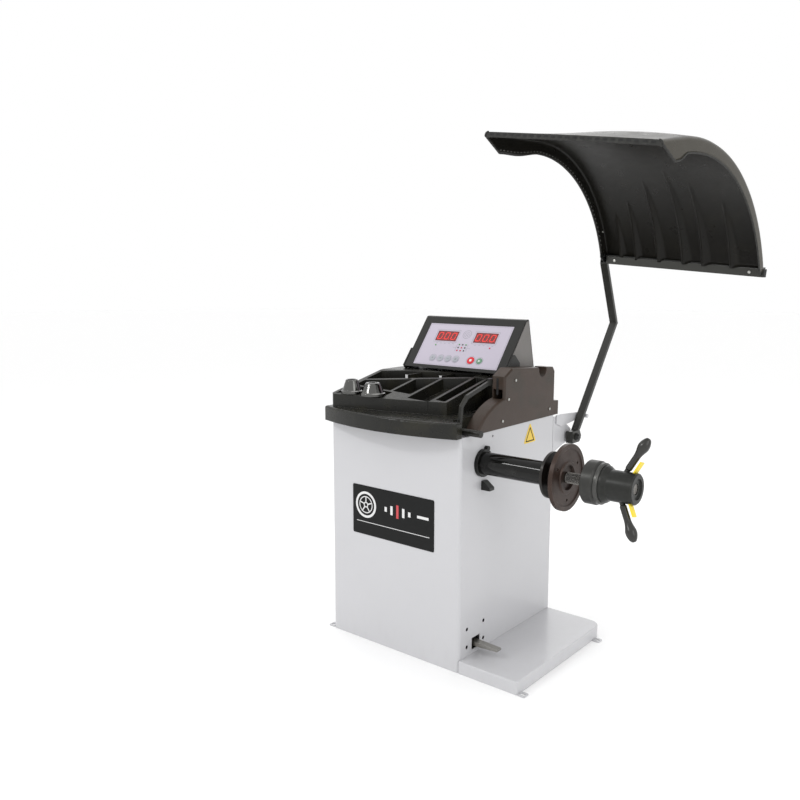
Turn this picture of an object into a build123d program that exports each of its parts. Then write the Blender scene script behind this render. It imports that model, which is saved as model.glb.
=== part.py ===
"""Floor-standing wheel balancer with a weight tray, display head, spindle, quick nut and wheel hood.

Frame: origin on the floor at the centre of the cabinet's footprint, +X along the spindle towards
the wheel, +Y towards the back of the machine, +Z up. Millimetres.
"""
import math
import os

from build123d import *

os.makedirs("parts", exist_ok=True)

# Cabinet and floor plate
cab_w, cab_d, cab_h = 610, 624, 845
sheet = 2                       # folded steel sheet
right, rear = cab_w / 2, cab_d / 2
front = -rear
cab_corner_r = 14
gap = 0.3                       # air left between neighbouring pieces
plate_reach, plate_h, plate_sheet = 241, 46, 3
plate_right = right + plate_reach
ear_w, ear_out, ear_t = 30, 28, 4
ear_slot_r, ear_slot_len = 6.5, 20
ear_front_y, ear_rear_y = front + 15, 245
panel_w, panel_h, panel_t = 580, 795, 2
screw_head_r, screw_r, screw_hole_r = 5, 2.4, 2.6

# Spindle line, along X
spindle_y, spindle_z = -183, 740
shaft_r = 17.5                  # journal inside the tube
thread_r = 18                   # clamping shaft outside
tube_r, tube_bore_r = 40, 31
tube_x0, tube_x1 = 60, 560
run = 0.05                      # radial running clearance
bearing_w = 14
back_disc_x, back_disc_t, back_disc_r = 576, 12, 78
flange_x, flange_t, flange_r = 626, 18, 111
shaft_end_x = right + 568
cup_x, cup_len, cup_r, cup_wall = right + 411, 45, 71, 8
ring_len, ring_r = 12, 67
nut_x1, nut_hub_r = right + 576, 50
handle_x, handle_reach = right + 507, 132
handle_lean, handle_turn = 27, 14   # degrees outboard, and about the spindle
pulley_x, pulley_w, pulley_r = 37, 20, 60
drum_x, drum_w, drum_r = 18, 14, 75
motor_y, motor_z = -20, 520
motor_r, motor_len, motor_shaft_r, motor_pulley_r = 55, 150, 7, 25
belt_t = 3

# Tray moulding and side cowl
tray_z0, skirt_h = cab_h + gap, 55
skirt_z1 = tray_z0 + skirt_h
skirt_out, skirt_bulge = 30, 55
tray_left, tray_rear = -(right + 4), rear + 31
tray_flat_z = 1015              # level rear part that carries the display head
tray_rise = 0.23                # slope of the compartment field
wall_left, wall_right = -285, 188
cowl_x0, cowl_x1 = 255, right + 3
cowl_front_y, cowl_wall_y = -219, -49
pocket_depth, rib = 42, 12
bin_floor_z, bin_depth = 955, 98
cone_places = [(-220, -287), (-118, -283)]
plinth_z = 950

# Display head
head_x, head_w = 6, 476
head_front = (39, 1026)         # (y, z) of the lower front edge
head_tilt = 38                  # degrees back from the vertical
head_face = 247                 # length of the sloping front
head_wall = 6
fascia_w, fascia_h, fascia_t, fascia_low = 400, 199, 1.5, 15
window_w, window_h, window_s = 103, 48, 155
window_u = 93
key_s, key_travel = 49, 1.2
keys = {"key_up": (-116, 13), "key_down": (-78, 13), "key_enter": (-41, 13), "key_mode": (-4, 13),
        "key_stop": (68, 16), "key_start": (108, 13)}

# Hood
hood_x = 330                    # plane of the arm
hood_pivot = (436, 743)         # (y, z)
hood_bend = (768, 1188)
hood_top = (652, 1453)
arm_side, arm_wall = 30, 3
hood_w, hood_droop = 640, 5     # length along the crossbar, and its fall in degrees
hood_t, hood_lip, hood_hem = 4, 45, 14
# Centre y, centre z and radius of each section's arc, and the angle where its straight front starts.
hood_sections = ((58, 1185, 670, 92), (13, 1166, 709.5, 100), (-8, 1099, 749, 99.3))
hood_lip_drops = (57, 0, 50)    # from the front tip to the raked end of each lip
hood_foot_z, hood_front_y = 1472, -285
hood_rake, hood_taper = 90, 0.05    # slant of the lips' front ends; outboard side closes in
pin_r = 10

# Pedal and distance gauge
pedal_y, pedal_z, pedal_pivot_x = -207, 80, 262
rod_x = 25
shoe_gap = 21
gauge_y, gauge_z, gauge_rod_r = -270, 860, 7


def keep(builder, name):
    """Label a finished piece and write it as its own STEP file."""
    builder.part.label = name
    export_step(builder.part, f"parts/{name}.step")


def at_x(x):
    """The plane across the spindle line at x: its first axis is Y and its second is Z."""
    return Plane.YZ.offset(x)


def at_y(y):
    """The upright plane at y: its first axis is X and its second is Z. It faces the front."""
    return Plane.XZ.offset(-y)


# ---------------------------------------------------------------- cabinet and floor plate
screw_places = [(side * 275, z) for side in (-1, 1) for z in (50, 365, 675)]
drain_holes = [(y, z) for y in (-262, -158) for z in (80, 147)]

with BuildPart() as cabinet_shell:
    with BuildSketch() as footprint:
        Rectangle(cab_w, cab_d)
        fillet(footprint.vertices().group_by(Axis.Y)[0], cab_corner_r)
    extrude(amount=cab_h)
    with BuildSketch(Plane.XY.offset(sheet)) as inside:
        Rectangle(cab_w - 2 * sheet, cab_d - 2 * sheet)
        fillet(inside.vertices().group_by(Axis.Y)[0], cab_corner_r - sheet)
    extrude(amount=cab_h - 2 * sheet, mode=Mode.SUBTRACT)
    with BuildSketch(at_y(rear + 1)):
        with Locations((0, cab_h / 2)):
            Rectangle(cab_w - 100, cab_h - 110)
        with Locations(screw_places):
            Circle(screw_hole_r)
    extrude(amount=sheet + 2, mode=Mode.SUBTRACT)
    with BuildSketch(at_x(right - sheet - 1)):
        with Locations((spindle_y, spindle_z)):
            Circle(tube_r + 3)
        with Locations((pedal_y, pedal_z + 2)):
            Rectangle(50, 44)
        with Locations(drain_holes):
            Circle(7)
        with Locations((-117, 825)):
            Circle(4)
    extrude(amount=sheet + 2, mode=Mode.SUBTRACT)
    with BuildSketch(Plane.XY.offset(cab_h - sheet - 1)):
        with Locations((-30, 40)):
            Rectangle(400, 440)
    extrude(amount=sheet + 2, mode=Mode.SUBTRACT)
keep(cabinet_shell, "cabinet_shell")

with BuildPart() as floor_plate:
    with BuildSketch() as plate_outline:
        with Locations((right + gap + (plate_reach - gap) / 2, 0)):
            Rectangle(plate_reach - gap, cab_d)
        outer = plate_outline.vertices().group_by(Axis.X)[-1]
        fillet(outer.sort_by(Axis.Y)[-1:], 50)
        outer = plate_outline.vertices().group_by(Axis.X)[-1]
        fillet(outer.sort_by(Axis.Y)[:1], 6)
    extrude(amount=plate_h)
    top_edges = floor_plate.faces().sort_by(Axis.Z)[-1].edges()
    fillet(top_edges.filter_by(lambda e: e.center().X > right + 2), 4)
    with BuildSketch():
        add(plate_outline.sketch)
        offset(amount=-plate_sheet, mode=Mode.REPLACE)
    extrude(amount=plate_h - plate_sheet, mode=Mode.SUBTRACT)
    with BuildSketch(Plane.XY.offset(8)):
        with GridLocations(0, 208, 1, 2):
            with Locations((right + plate_reach / 2, 0)):
                Rectangle(plate_reach - 2 * plate_sheet, plate_sheet)
    extrude(amount=plate_h - plate_sheet - 8)
keep(floor_plate, "floor_plate")

ear_centres = [(x, y) for x in (plate_right + gap + ear_out / 2, -right - gap - ear_out / 2)
               for y in (ear_front_y, ear_rear_y)]
with BuildPart() as mounting_ears:
    with BuildSketch():
        with Locations(ear_centres):
            RectangleRounded(ear_out, ear_w, 4)
            SlotOverall(ear_slot_len, 2 * ear_slot_r, mode=Mode.SUBTRACT)
    extrude(amount=ear_t)
keep(mounting_ears, "mounting_ears")

vents = [(x, z) for x in (-160, -80, 0, 80, 160) for z in (560, 590, 620, 650)]
inlet_place, switch_place = (-200, 200), (-120, 200)
with BuildPart() as rear_panel:
    with BuildSketch(at_y(rear + gap)):
        with Locations((0, cab_h / 2)):
            RectangleRounded(panel_w, panel_h, 8)
        with Locations(screw_places):
            Circle(screw_hole_r, mode=Mode.SUBTRACT)
        with Locations(vents):
            SlotOverall(60, 9, mode=Mode.SUBTRACT)
        with Locations(inlet_place):
            Rectangle(28, 48, mode=Mode.SUBTRACT)
        with Locations(switch_place):
            Rectangle(24, 32, mode=Mode.SUBTRACT)
    extrude(amount=-panel_t)
keep(rear_panel, "rear_panel")

with BuildPart() as nameplate:
    with BuildSketch(at_y(front - gap)):
        with Locations((0, 515)):
            RectangleRounded(388, 190, 6)
    extrude(amount=1.5)
    chamfer(nameplate.faces().sort_by(Axis.Y)[0].edges(), 0.5)
keep(nameplate, "nameplate")

with BuildPart() as side_label:
    with BuildSketch(at_x(right + gap)) as label:
        with Locations((137, 787)):
            RegularPolygon(52, 3, rotation=90)
        fillet(label.vertices(), 6)
    extrude(amount=0.6)
keep(side_label, "side_label")

# ---------------------------------------------------------------- tray moulding
slope_n = (-0.2056, 0.9787)     # uphill direction of the compartment field, seen from above
slope_start = (-269, -333, 948)
tray_slope = Plane(origin=slope_start, x_dir=(1, 0, tray_rise * slope_n[0]),
                   z_dir=(-tray_rise * slope_n[0], -tray_rise * slope_n[1], 1))
skirt_y = front - skirt_out
bin_angle = math.atan(0.45)


def bin_front(x, back=0):
    """Y of the bins' slanting front edge at x, or of a line that far behind it."""
    return -120 + math.tan(bin_angle) * (x + 187) + back


with BuildPart() as pocket_cutter:
    with BuildSketch(Plane.XY.offset(890)) as compartments:
        for x0, x1, y0, back in ((-262, -86, -222, -14), (-74, 12, -222, -14),
                                 (24, 122, -256, -14), (134, 176, -232, 0)):
            y1, y2 = bin_front(x0, back), bin_front(x1, back)
            if back == 0:
                y1, y2 = 20, 20
            with BuildLine():
                Polyline((x0, y0), (x1, y0), (x1, y2), (x0, y1), close=True)
            make_face()
        fillet(compartments.vertices(), 5)
    extrude(amount=200)
    with BuildSketch(tray_slope.offset(-pocket_depth)):
        Rectangle(1600, 1600)
    extrude(amount=-200, mode=Mode.SUBTRACT)
    with BuildSketch(Plane.XY.offset(bin_floor_z)) as bin_row:
        with BuildLine():
            Polyline((-268, bin_front(-268)), (122, bin_front(122)), (122, bin_front(122, bin_depth)),
                     (-268, bin_front(-268, bin_depth)), close=True)
        make_face()
        fillet(bin_row.vertices(), 5)
    extrude(amount=100)

with BuildPart() as hollow_cutter:
    with BuildSketch(Plane.XY.offset(tray_z0)):
        with BuildLine():
            Polyline((wall_right - 5, -228), (wall_right - 5, tray_rear - 18),
                     (wall_left + 5, tray_rear - 18), (wall_left + 5, -325), (-265, -325), (-12, -280),
                     (wall_right - 5, -228))
        make_face()
    extrude(amount=105)
    with BuildSketch(tray_slope.offset(-pocket_depth - 4)):
        Rectangle(1600, 1600)
    extrude(amount=200, mode=Mode.SUBTRACT)
    behind_bins = bin_depth + 5
    with BuildSketch(Plane.XY.offset(tray_z0 + 40)):
        with BuildLine():
            Polyline((wall_left + 5, bin_front(wall_left + 5, behind_bins)),
                     (cowl_x0 - 5, bin_front(cowl_x0 - 5, behind_bins)), (cowl_x0 - 5, tray_rear - 18),
                     (wall_left + 5, tray_rear - 18), close=True)
        make_face()
    extrude(amount=tray_flat_z - tray_z0 - 44)

with BuildPart() as tray_body:
    with BuildSketch(Plane.XY.offset(tray_z0)) as skirt:
        with BuildLine():
            Polyline((cowl_x1, skirt_y), (cowl_x1, front), (cowl_x0 - gap, front),
                     (cowl_x0 - gap, tray_rear), (tray_left, tray_rear), (tray_left, skirt_y))
            ThreePointArc((tray_left, skirt_y), (0, skirt_y - skirt_bulge), (cowl_x1, skirt_y))
        make_face()
    extrude(amount=skirt_h)
    skirt_rim = tray_body.faces().sort_by(Axis.Z)[-1].edges()
    fillet(skirt_rim.filter_by(lambda e: e.center().Y < front - 1 or e.center().X < tray_left + 1), 8)
    with BuildSketch(Plane.XY.offset(skirt_z1 - 1)) as raised:
        with BuildLine():
            Polyline((wall_right, -237), (wall_right, 20), (cowl_x0 - gap, 20),
                     (cowl_x0 - gap, tray_rear - 12), (wall_left, tray_rear - 12), (wall_left, -333),
                     (-269, -333))
            ThreePointArc((-269, -333), (-12, -287), (wall_right, -237))
        make_face()
        fillet(raised.vertices().group_by(Axis.X)[0], 14)
    extrude(amount=tray_flat_z - skirt_z1 + 1)
    with BuildSketch(tray_slope):
        Rectangle(1600, 1600)
    extrude(amount=200, mode=Mode.SUBTRACT)
    add(pocket_cutter.part, mode=Mode.SUBTRACT)
    with BuildSketch(Plane.XY.offset(plinth_z)):
        with Locations((-168, -284)):
            Rectangle(204, 104)
    extrude(amount=60, mode=Mode.SUBTRACT)
    with BuildSketch(Plane.XY.offset(plinth_z - 1)):
        with Locations(cone_places):
            Circle(16)
    extrude(amount=44)
    chamfer(tray_body.faces().filter_by(Plane.XY).group_by(Axis.Z)[-1].edges(), 3)
    with BuildSketch(Plane.XY.offset(tray_z0)) as underside:
        add(skirt.sketch)
        offset(amount=-4, mode=Mode.REPLACE)
    extrude(amount=skirt_h - 4, mode=Mode.SUBTRACT)
    add(hollow_cutter.part, mode=Mode.SUBTRACT)
    with BuildSketch(Plane.XY.offset(gauge_z - 12)):
        with Locations((-45, gauge_y), (215, gauge_y)):
            Rectangle(30, 34)
    extrude(amount=skirt_z1 - gauge_z + 10)
    with BuildSketch(at_x(-70)):
        with Locations((gauge_y, gauge_z)):
            Circle(gauge_rod_r + run)
    extrude(amount=310, mode=Mode.SUBTRACT)
    with BuildSketch(at_x(cowl_x0 - 10)):
        with Locations((gauge_y, gauge_z)):
            Circle(gauge_rod_r + 1.5)
    extrude(amount=12, mode=Mode.SUBTRACT)
keep(tray_body, "tray_body")

with BuildPart() as bin_dividers:
    for x in (-120, 3):
        place = Plane(origin=(x, bin_front(x) + bin_depth / 2, bin_floor_z + gap), z_dir=(0, 0, 1))
        with BuildSketch(place):
            Rectangle(12, bin_depth - 14)
        extrude(amount=1008 - bin_floor_z)
keep(bin_dividers, "bin_dividers")


def cone_section(base_r, top_r, height):
    """Corners of half the section of a centring cone with a bore and a stepped foot."""
    return [(16.6, 0), (base_r, 0), (base_r, 9), (base_r - 5, 12), (top_r, height - 4),
            (top_r - 3, height), (16.6, height)]


with BuildPart() as centring_cones:
    for (x, y), size in zip(cone_places, ((41, 24, 52), (47, 28, 47))):
        foot = Plane(origin=(x, y, plinth_z + gap), x_dir=(1, 0, 0), z_dir=(0, -1, 0))
        with BuildSketch(foot):
            with BuildLine():
                Polyline(*cone_section(*size), close=True)
            make_face()
        revolve(axis=Axis((x, y, 0), (0, 0, 1)))
keep(centring_cones, "centring_cones")

# ---------------------------------------------------------------- side cowl
notch_y, notch_r, notch_z = 217, 28, 1034
cowl_screw_places = [(-23, 946), (-61, 871), (275, 874), (23, 1011)]

with BuildPart() as side_cowl:
    with BuildSketch(at_x(cowl_x0)) as cowl_profile:
        with BuildLine():
            ThreePointArc((cowl_front_y, 849), (-150, 914), (cowl_wall_y, 951))
            Polyline((cowl_wall_y, 951), (cowl_wall_y, 1030), (0, 1057), (rear - 20, 1038),
                     (rear - 5, 1020), (rear - 5, 903), (tray_rear, 900), (tray_rear, tray_z0),
                     (cowl_front_y, tray_z0), (cowl_front_y, 849))
        make_face()
        with Locations((notch_y, notch_z)):
            Circle(notch_r, mode=Mode.SUBTRACT)
        with Locations((notch_y, notch_z + 20)):
            Rectangle(2 * notch_r, 40, mode=Mode.SUBTRACT)
    extrude(amount=cowl_x1 - cowl_x0)
    outer_edges = side_cowl.faces().sort_by(Axis.X)[-1].edges()
    fillet(outer_edges.filter_by(lambda e: e.center().Z > tray_z0 + 3 and e.center().Y < 150), 9)
    with BuildSketch(at_x(cowl_x0 + 4)):
        with BuildLine():
            Polyline((cowl_front_y + 30, tray_z0), (cowl_front_y + 60, 890), (-60, 935),
                     (-40, 1020), (0, 1046), (notch_y - notch_r - 5, 1034), (notch_y - notch_r - 5, 998),
                     (rear - 12, 998), (rear - 12, 890), (tray_rear - 6, 890),
                     (tray_rear - 6, tray_z0), close=True)
        make_face()
    extrude(amount=cowl_x1 - cowl_x0 - 14, mode=Mode.SUBTRACT)
    with BuildSketch(at_x(cowl_x1 - 12)):
        with Locations(cowl_screw_places):
            Circle(screw_hole_r)
    extrude(amount=14, mode=Mode.SUBTRACT)
keep(side_cowl, "side_cowl")

with BuildPart() as cover_screws:
    with BuildSketch(at_y(rear + gap + panel_t)):
        with Locations(screw_places):
            Circle(screw_head_r)
    extrude(amount=-2.5)
    with BuildSketch(at_y(rear + gap + panel_t)):
        with Locations(screw_places):
            Circle(screw_r)
    extrude(amount=8)
    with BuildSketch(at_x(cowl_x1 + 0.1)):
        with Locations(cowl_screw_places):
            Circle(screw_head_r)
    extrude(amount=2.5)
    with BuildSketch(at_x(cowl_x1 - 9)):
        with Locations(cowl_screw_places):
            Circle(screw_r)
    extrude(amount=10)
keep(cover_screws, "cover_screws")

# ---------------------------------------------------------------- display head
tilt = math.radians(head_tilt)
up_slope = (0, math.sin(tilt), math.cos(tilt))
out_slope = (0, -math.cos(tilt), math.sin(tilt))
head_plane = Plane(origin=(head_x, *head_front), x_dir=(1, 0, 0), z_dir=out_slope)
head_top_front = (head_front[0] + head_face * up_slope[1], head_front[1] + head_face * up_slope[2])
head_top_rear = (head_top_front[0] + 22, head_top_front[1] + 3)
head_heel = (262, tray_flat_z + 1)
head_outline = [head_front, head_top_front, head_top_rear, head_heel]
head_left = head_x - head_w / 2
lamps_uv = [(u, s) for s in (118, 104, 90) for u in (-16, 0, 16)] + [(-130, 110), (130, 110)]

with BuildPart() as display_housing:
    with BuildSketch(at_x(head_left)):
        with BuildLine():
            Polyline(*head_outline, close=True)
        make_face()
    extrude(amount=head_w)
    fillet(display_housing.edges().filter_by(Axis.X).sort_by(Axis.Z)[-2:], 10)
    with BuildSketch(at_x(head_left + head_wall)):
        with BuildLine():
            Polyline(*head_outline, close=True)
        make_face()
        offset(amount=-head_wall, kind=Kind.INTERSECTION, mode=Mode.REPLACE)
    extrude(amount=head_w - 2 * head_wall, mode=Mode.SUBTRACT)
    with BuildSketch(head_plane):
        with Locations((0, fascia_low + fascia_h / 2)):
            Rectangle(fascia_w + 2 * gap, fascia_h + 2 * gap)
    extrude(amount=-3, mode=Mode.SUBTRACT)
    with BuildSketch(head_plane):
        with Locations((0, fascia_low + fascia_h / 2)):
            Rectangle(fascia_w - 14, fascia_h - 14)
    extrude(amount=-head_wall - 1, mode=Mode.SUBTRACT)
keep(display_housing, "display_housing")

with BuildPart() as display_cheeks:
    for x in (head_left - gap - 2, head_left + head_w + gap):
        with BuildSketch(at_x(x)) as cheek:
            with BuildLine():
                Polyline(*head_outline, close=True)
            make_face()
            offset(amount=-7, kind=Kind.INTERSECTION, mode=Mode.REPLACE)
            fillet(cheek.vertices(), 3)
        extrude(amount=2)
keep(display_cheeks, "display_cheeks")

with BuildPart() as display_brackets:
    for x in (head_left - 9, head_left + head_w + 2.6):
        with BuildSketch(at_x(x)):
            with BuildLine():
                Polyline((52, tray_flat_z + gap), (140, tray_flat_z + gap), (140, 1062), (104, 1094),
                         (92, 1094), (40, 1028), close=True)
            make_face()
        extrude(amount=6.2)
keep(display_brackets, "display_brackets")

with BuildPart() as display_fascia:
    with BuildSketch(head_plane.offset(-1 - fascia_t)):
        with Locations((0, fascia_low + fascia_h / 2)):
            Rectangle(fascia_w, fascia_h)
        with Locations((-window_u, window_s), (window_u, window_s)):
            Rectangle(window_w, window_h, mode=Mode.SUBTRACT)
        for u, r in keys.values():
            with Locations((u, key_s)):
                Circle(r + gap, mode=Mode.SUBTRACT)
        with Locations(lamps_uv):
            Circle(3.3, mode=Mode.SUBTRACT)
    extrude(amount=fascia_t)
keep(display_fascia, "display_fascia")

with BuildPart() as display_windows:
    with BuildSketch(head_plane.offset(-3.2)):
        with Locations((-window_u, window_s), (window_u, window_s)):
            Rectangle(window_w - 2 * gap, window_h - 2 * gap)
    extrude(amount=2.4)
keep(display_windows, "display_windows")

with BuildPart() as digit_modules:
    with BuildSketch(head_plane.offset(-12)):
        for centre in (-window_u, window_u):
            for step in (-1, 0, 1):
                with Locations((centre + step * 33, window_s)):
                    Rectangle(32, 44)
    extrude(amount=8)
keep(digit_modules, "digit_modules")

with BuildPart() as indicator_lamps:
    with BuildSketch(head_plane.offset(-5)):
        with Locations(lamps_uv):
            Circle(3)
    extrude(amount=5)
    fillet(indicator_lamps.faces().group_by(Axis(head_plane.origin, out_slope))[-1].edges(), 1)
keep(indicator_lamps, "indicator_lamps")

with BuildPart() as display_board:
    with BuildSketch(head_plane.offset(-16)):
        with Locations((0, fascia_low + fascia_h / 2)):
            Rectangle(376, 176)
    extrude(amount=1.6)
keep(display_board, "display_board")

for key_name, (u, r) in keys.items():
    with BuildPart() as key:
        with BuildSketch(head_plane.offset(-3)):
            with Locations((u, key_s)):
                Circle(r)
        extrude(amount=3.6)
        fillet(key.faces().sort_by(Axis(head_plane.origin, out_slope))[-1].edges(), 1)
        with BuildSketch(head_plane.offset(-11)):
            with Locations((u, key_s)):
                Circle(4)
        extrude(amount=8)
    keep(key, key_name)

# ---------------------------------------------------------------- spindle: standing pieces


def ring(x, length, outer_r, inner_r):
    """Add a plain ring round the spindle line, from x outwards."""
    with BuildSketch(at_x(x)) as annulus:
        with Locations((spindle_y, spindle_z)):
            Circle(outer_r)
            Circle(inner_r, mode=Mode.SUBTRACT)
    extrude(annulus.sketch, amount=length)


with BuildPart() as spindle_tube:
    ring(tube_x0, tube_x1 - tube_x0, tube_r, tube_bore_r)
    chamfer(spindle_tube.faces().sort_by(Axis.X)[-1].outer_wire().edges(), 2)
keep(spindle_tube, "spindle_tube")

with BuildPart() as spindle_collar:
    ring(right + gap, 14, 50, tube_r + 0.1)
    fillet(spindle_collar.faces().sort_by(Axis.X)[-1].outer_wire().edges(), 3)
    with BuildSketch(at_x(right + gap)):
        with Locations((spindle_y + 20, spindle_z + 49)):
            Circle(9)
    extrude(amount=14)
keep(spindle_collar, "spindle_collar")

with BuildPart() as spindle_bearings:
    for x in (tube_x0 + 12, tube_x1 - 12 - bearing_w):
        ring(x, bearing_w, tube_bore_r - 0.02, shaft_r + run)
keep(spindle_bearings, "spindle_bearings")

with BuildPart() as spindle_carrier:
    for x in (110, 280):
        with BuildSketch(at_x(x)):
            with Locations((spindle_y, spindle_z - 5)):
                Rectangle(160, 130)
            with Locations((spindle_y, spindle_z)):
                Circle(tube_r + 0.1, mode=Mode.SUBTRACT)
        extrude(amount=12)
    with BuildSketch(Plane.XY.offset(spindle_z - 70)):
        with Locations((201, spindle_y)):
            Rectangle(182, 160)
    extrude(amount=12)
keep(spindle_carrier, "spindle_carrier")

with BuildPart() as force_sensors:
    with BuildSketch(Plane.XY.offset(spindle_z - 86)):
        with Locations((135, spindle_y), (270, spindle_y)):
            Circle(13)
    extrude(amount=16 - gap)
keep(force_sensors, "force_sensors")

with BuildPart() as sensor_rail:
    with BuildSketch(at_y(spindle_y + 30)):
        with BuildLine():
            Polyline((100, spindle_z - 86 - gap), (right - sheet - gap, spindle_z - 86 - gap),
                     (right - sheet - gap, spindle_z - 190), (right - sheet - 6, spindle_z - 190),
                     (110, spindle_z - 106), (100, spindle_z - 106), close=True)
        make_face()
    extrude(amount=60)
keep(sensor_rail, "sensor_rail")

# ---------------------------------------------------------------- spindle: turning pieces
spindle_axis = Axis((0, spindle_y, spindle_z), (1, 0, 0))
spindle_section = Plane(origin=(0, spindle_y, spindle_z), x_dir=(1, 0, 0), z_dir=(0, -1, 0))

with BuildPart() as spindle_shaft:
    with BuildSketch(spindle_section):
        with BuildLine():
            Polyline((10, 0), (10, shaft_r), (flange_x - 56, shaft_r), (flange_x - 56, 24),
                     (flange_x - 30, 24), (flange_x - 30, thread_r), (shaft_end_x - 2, thread_r),
                     (shaft_end_x, thread_r - 2), (shaft_end_x, 0), close=True)
        make_face()
    revolve(axis=spindle_axis)
keep(spindle_shaft, "spindle_shaft")

with BuildPart() as back_disc:
    with BuildSketch(spindle_section):
        with BuildLine():
            Polyline((back_disc_x, 24 + run), (back_disc_x, 30), (back_disc_x + 3, back_disc_r),
                     (back_disc_x + back_disc_t, back_disc_r), (back_disc_x + back_disc_t, 44),
                     (flange_x - 31, 36), (flange_x - 31, 24 + run), close=True)
        make_face()
    revolve(axis=spindle_axis)
keep(back_disc, "back_disc")

with BuildPart() as main_flange:
    face_x = flange_x + flange_t
    with BuildSketch(spindle_section):
        with BuildLine():
            Polyline((flange_x - 30, thread_r + run), (flange_x - 30, 34), (flange_x, 60),
                     (flange_x + 4, flange_r), (face_x, flange_r), (face_x, flange_r - 14),
                     (face_x - 4, flange_r - 18), (face_x - 4, 56), (face_x, 52), (face_x, 42),
                     (face_x - 9, 38), (face_x - 9, thread_r + run), close=True)
        make_face()
    revolve(axis=spindle_axis)
    with BuildSketch(at_x(flange_x)):
        with Locations((spindle_y, spindle_z)):
            with PolarLocations(76, 3, start_angle=30):
                Circle(5)
    extrude(amount=flange_t + 2, mode=Mode.SUBTRACT)
keep(main_flange, "main_flange")

with BuildPart() as spindle_pulley:
    groove_pitch = 4
    with BuildSketch(spindle_section):
        with BuildLine():
            rim = [(pulley_x, pulley_r)]
            for k in range(5):
                x = pulley_x + k * groove_pitch
                rim += [(x + 1, pulley_r), (x + 2, pulley_r - 2), (x + 3, pulley_r)]
            Polyline((pulley_x, shaft_r + run), *rim, (pulley_x + pulley_w, pulley_r),
                     (pulley_x + pulley_w, shaft_r + run), close=True)
        make_face()
    revolve(axis=spindle_axis)
    ring(drum_x, drum_w, drum_r, shaft_r + run)
    ring(drum_x + drum_w - 1, pulley_x - drum_x - drum_w + 2, 30, shaft_r + run)
keep(spindle_pulley, "spindle_pulley")

# ---------------------------------------------------------------- motor and belt
with BuildPart() as motor_bracket:
    with BuildSketch(Plane.XY.offset(sheet + gap)):
        with Locations((-16, motor_y)):
            Rectangle(88, 140)
    extrude(amount=6)
    with BuildSketch(at_x(16)):
        with Locations((motor_y, (600 + sheet) / 2)):
            Rectangle(140, 600 - sheet - 2 * gap)
        with Locations((motor_y, motor_z)):
            Circle(motor_shaft_r + 12, mode=Mode.SUBTRACT)
    extrude(amount=6)
    with BuildSketch(Plane.XY.offset(300)):
        with Locations((25, -156)):
            Rectangle(34, 134)
        with Locations((rod_x, spindle_y - 20)):
            Circle(5 + run, mode=Mode.SUBTRACT)
    extrude(amount=6)
keep(motor_bracket, "motor_bracket")

with BuildPart() as motor_body:
    with BuildSketch(at_x(16 - gap - motor_len)):
        with Locations((motor_y, motor_z)):
            Circle(motor_r)
            with PolarLocations(motor_r, 24):
                Rectangle(8, 3)
    extrude(amount=motor_len)
    with BuildSketch(at_x(16 - gap)):
        with Locations((motor_y, motor_z)):
            Circle(motor_shaft_r + 1)
    extrude(amount=-motor_len + 10, mode=Mode.SUBTRACT)
keep(motor_body, "motor_body")

with BuildPart() as motor_shaft:
    with BuildSketch(at_x(16 - motor_len + 20)):
        with Locations((motor_y, motor_z)):
            Circle(motor_shaft_r)
    extrude(amount=motor_len + 25)
    with BuildSketch(at_x(pulley_x)):
        with Locations((motor_y, motor_z)):
            Circle(motor_pulley_r)
    extrude(amount=pulley_w)
keep(motor_shaft, "motor_shaft")

with BuildPart() as drive_belt:
    for grow, mode in ((belt_t, Mode.ADD), (gap, Mode.SUBTRACT)):
        with BuildSketch(at_x(pulley_x + 1)):
            with Locations((spindle_y, spindle_z)):
                Circle(pulley_r + grow)
            with Locations((motor_y, motor_z)):
                Circle(motor_pulley_r + grow)
            make_hull()
        extrude(amount=pulley_w - 2, mode=mode)
keep(drive_belt, "drive_belt")

with BuildPart() as power_board:
    with BuildSketch(at_y(250)):
        with Locations((-120, 430)):
            Rectangle(240, 160)
    extrude(amount=1.6)
    with BuildSketch(at_y(250 - 1.6)):
        with Locations((-190, 450)):
            Rectangle(60, 60)
        with Locations((-90, 460)):
            Circle(16)
        with Locations((-50, 400)):
            Rectangle(40, 70)
    extrude(amount=30)
keep(power_board, "power_board")

# ---------------------------------------------------------------- quick nut
with BuildPart() as pressure_cup:
    with BuildSketch(spindle_section):
        with BuildLine():
            x1 = cup_x + cup_len
            Polyline((cup_x, cup_r - cup_wall), (cup_x, cup_r - 3), (cup_x + 3, cup_r),
                     (x1 - 8, cup_r), (x1, cup_r - 8), (x1, thread_r + run),
                     (x1 - 12, thread_r + run), (x1 - 12, cup_r - cup_wall), close=True)
        make_face()
    revolve(axis=spindle_axis)
keep(pressure_cup, "pressure_cup")

with BuildPart() as pressure_ring:
    ring(cup_x + cup_len + gap, ring_len, ring_r, thread_r + run)
    chamfer(pressure_ring.faces().sort_by(Axis.X)[-1].outer_wire().edges(), 4)
keep(pressure_ring, "pressure_ring")

nut_x0 = cup_x + cup_len + ring_len + 2 * gap
lean = math.radians(handle_lean)
turn = math.radians(handle_turn)
handle_planes = {}
for side, sign in (("upper", 1), ("lower", -1)):
    out = (math.sin(lean), sign * math.cos(lean) * math.sin(turn), sign * math.cos(lean) * math.cos(turn))
    across = (0, math.cos(turn), -math.sin(turn))
    handle_planes[side] = Plane(origin=(handle_x, spindle_y, spindle_z), x_dir=across, z_dir=out)

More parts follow.
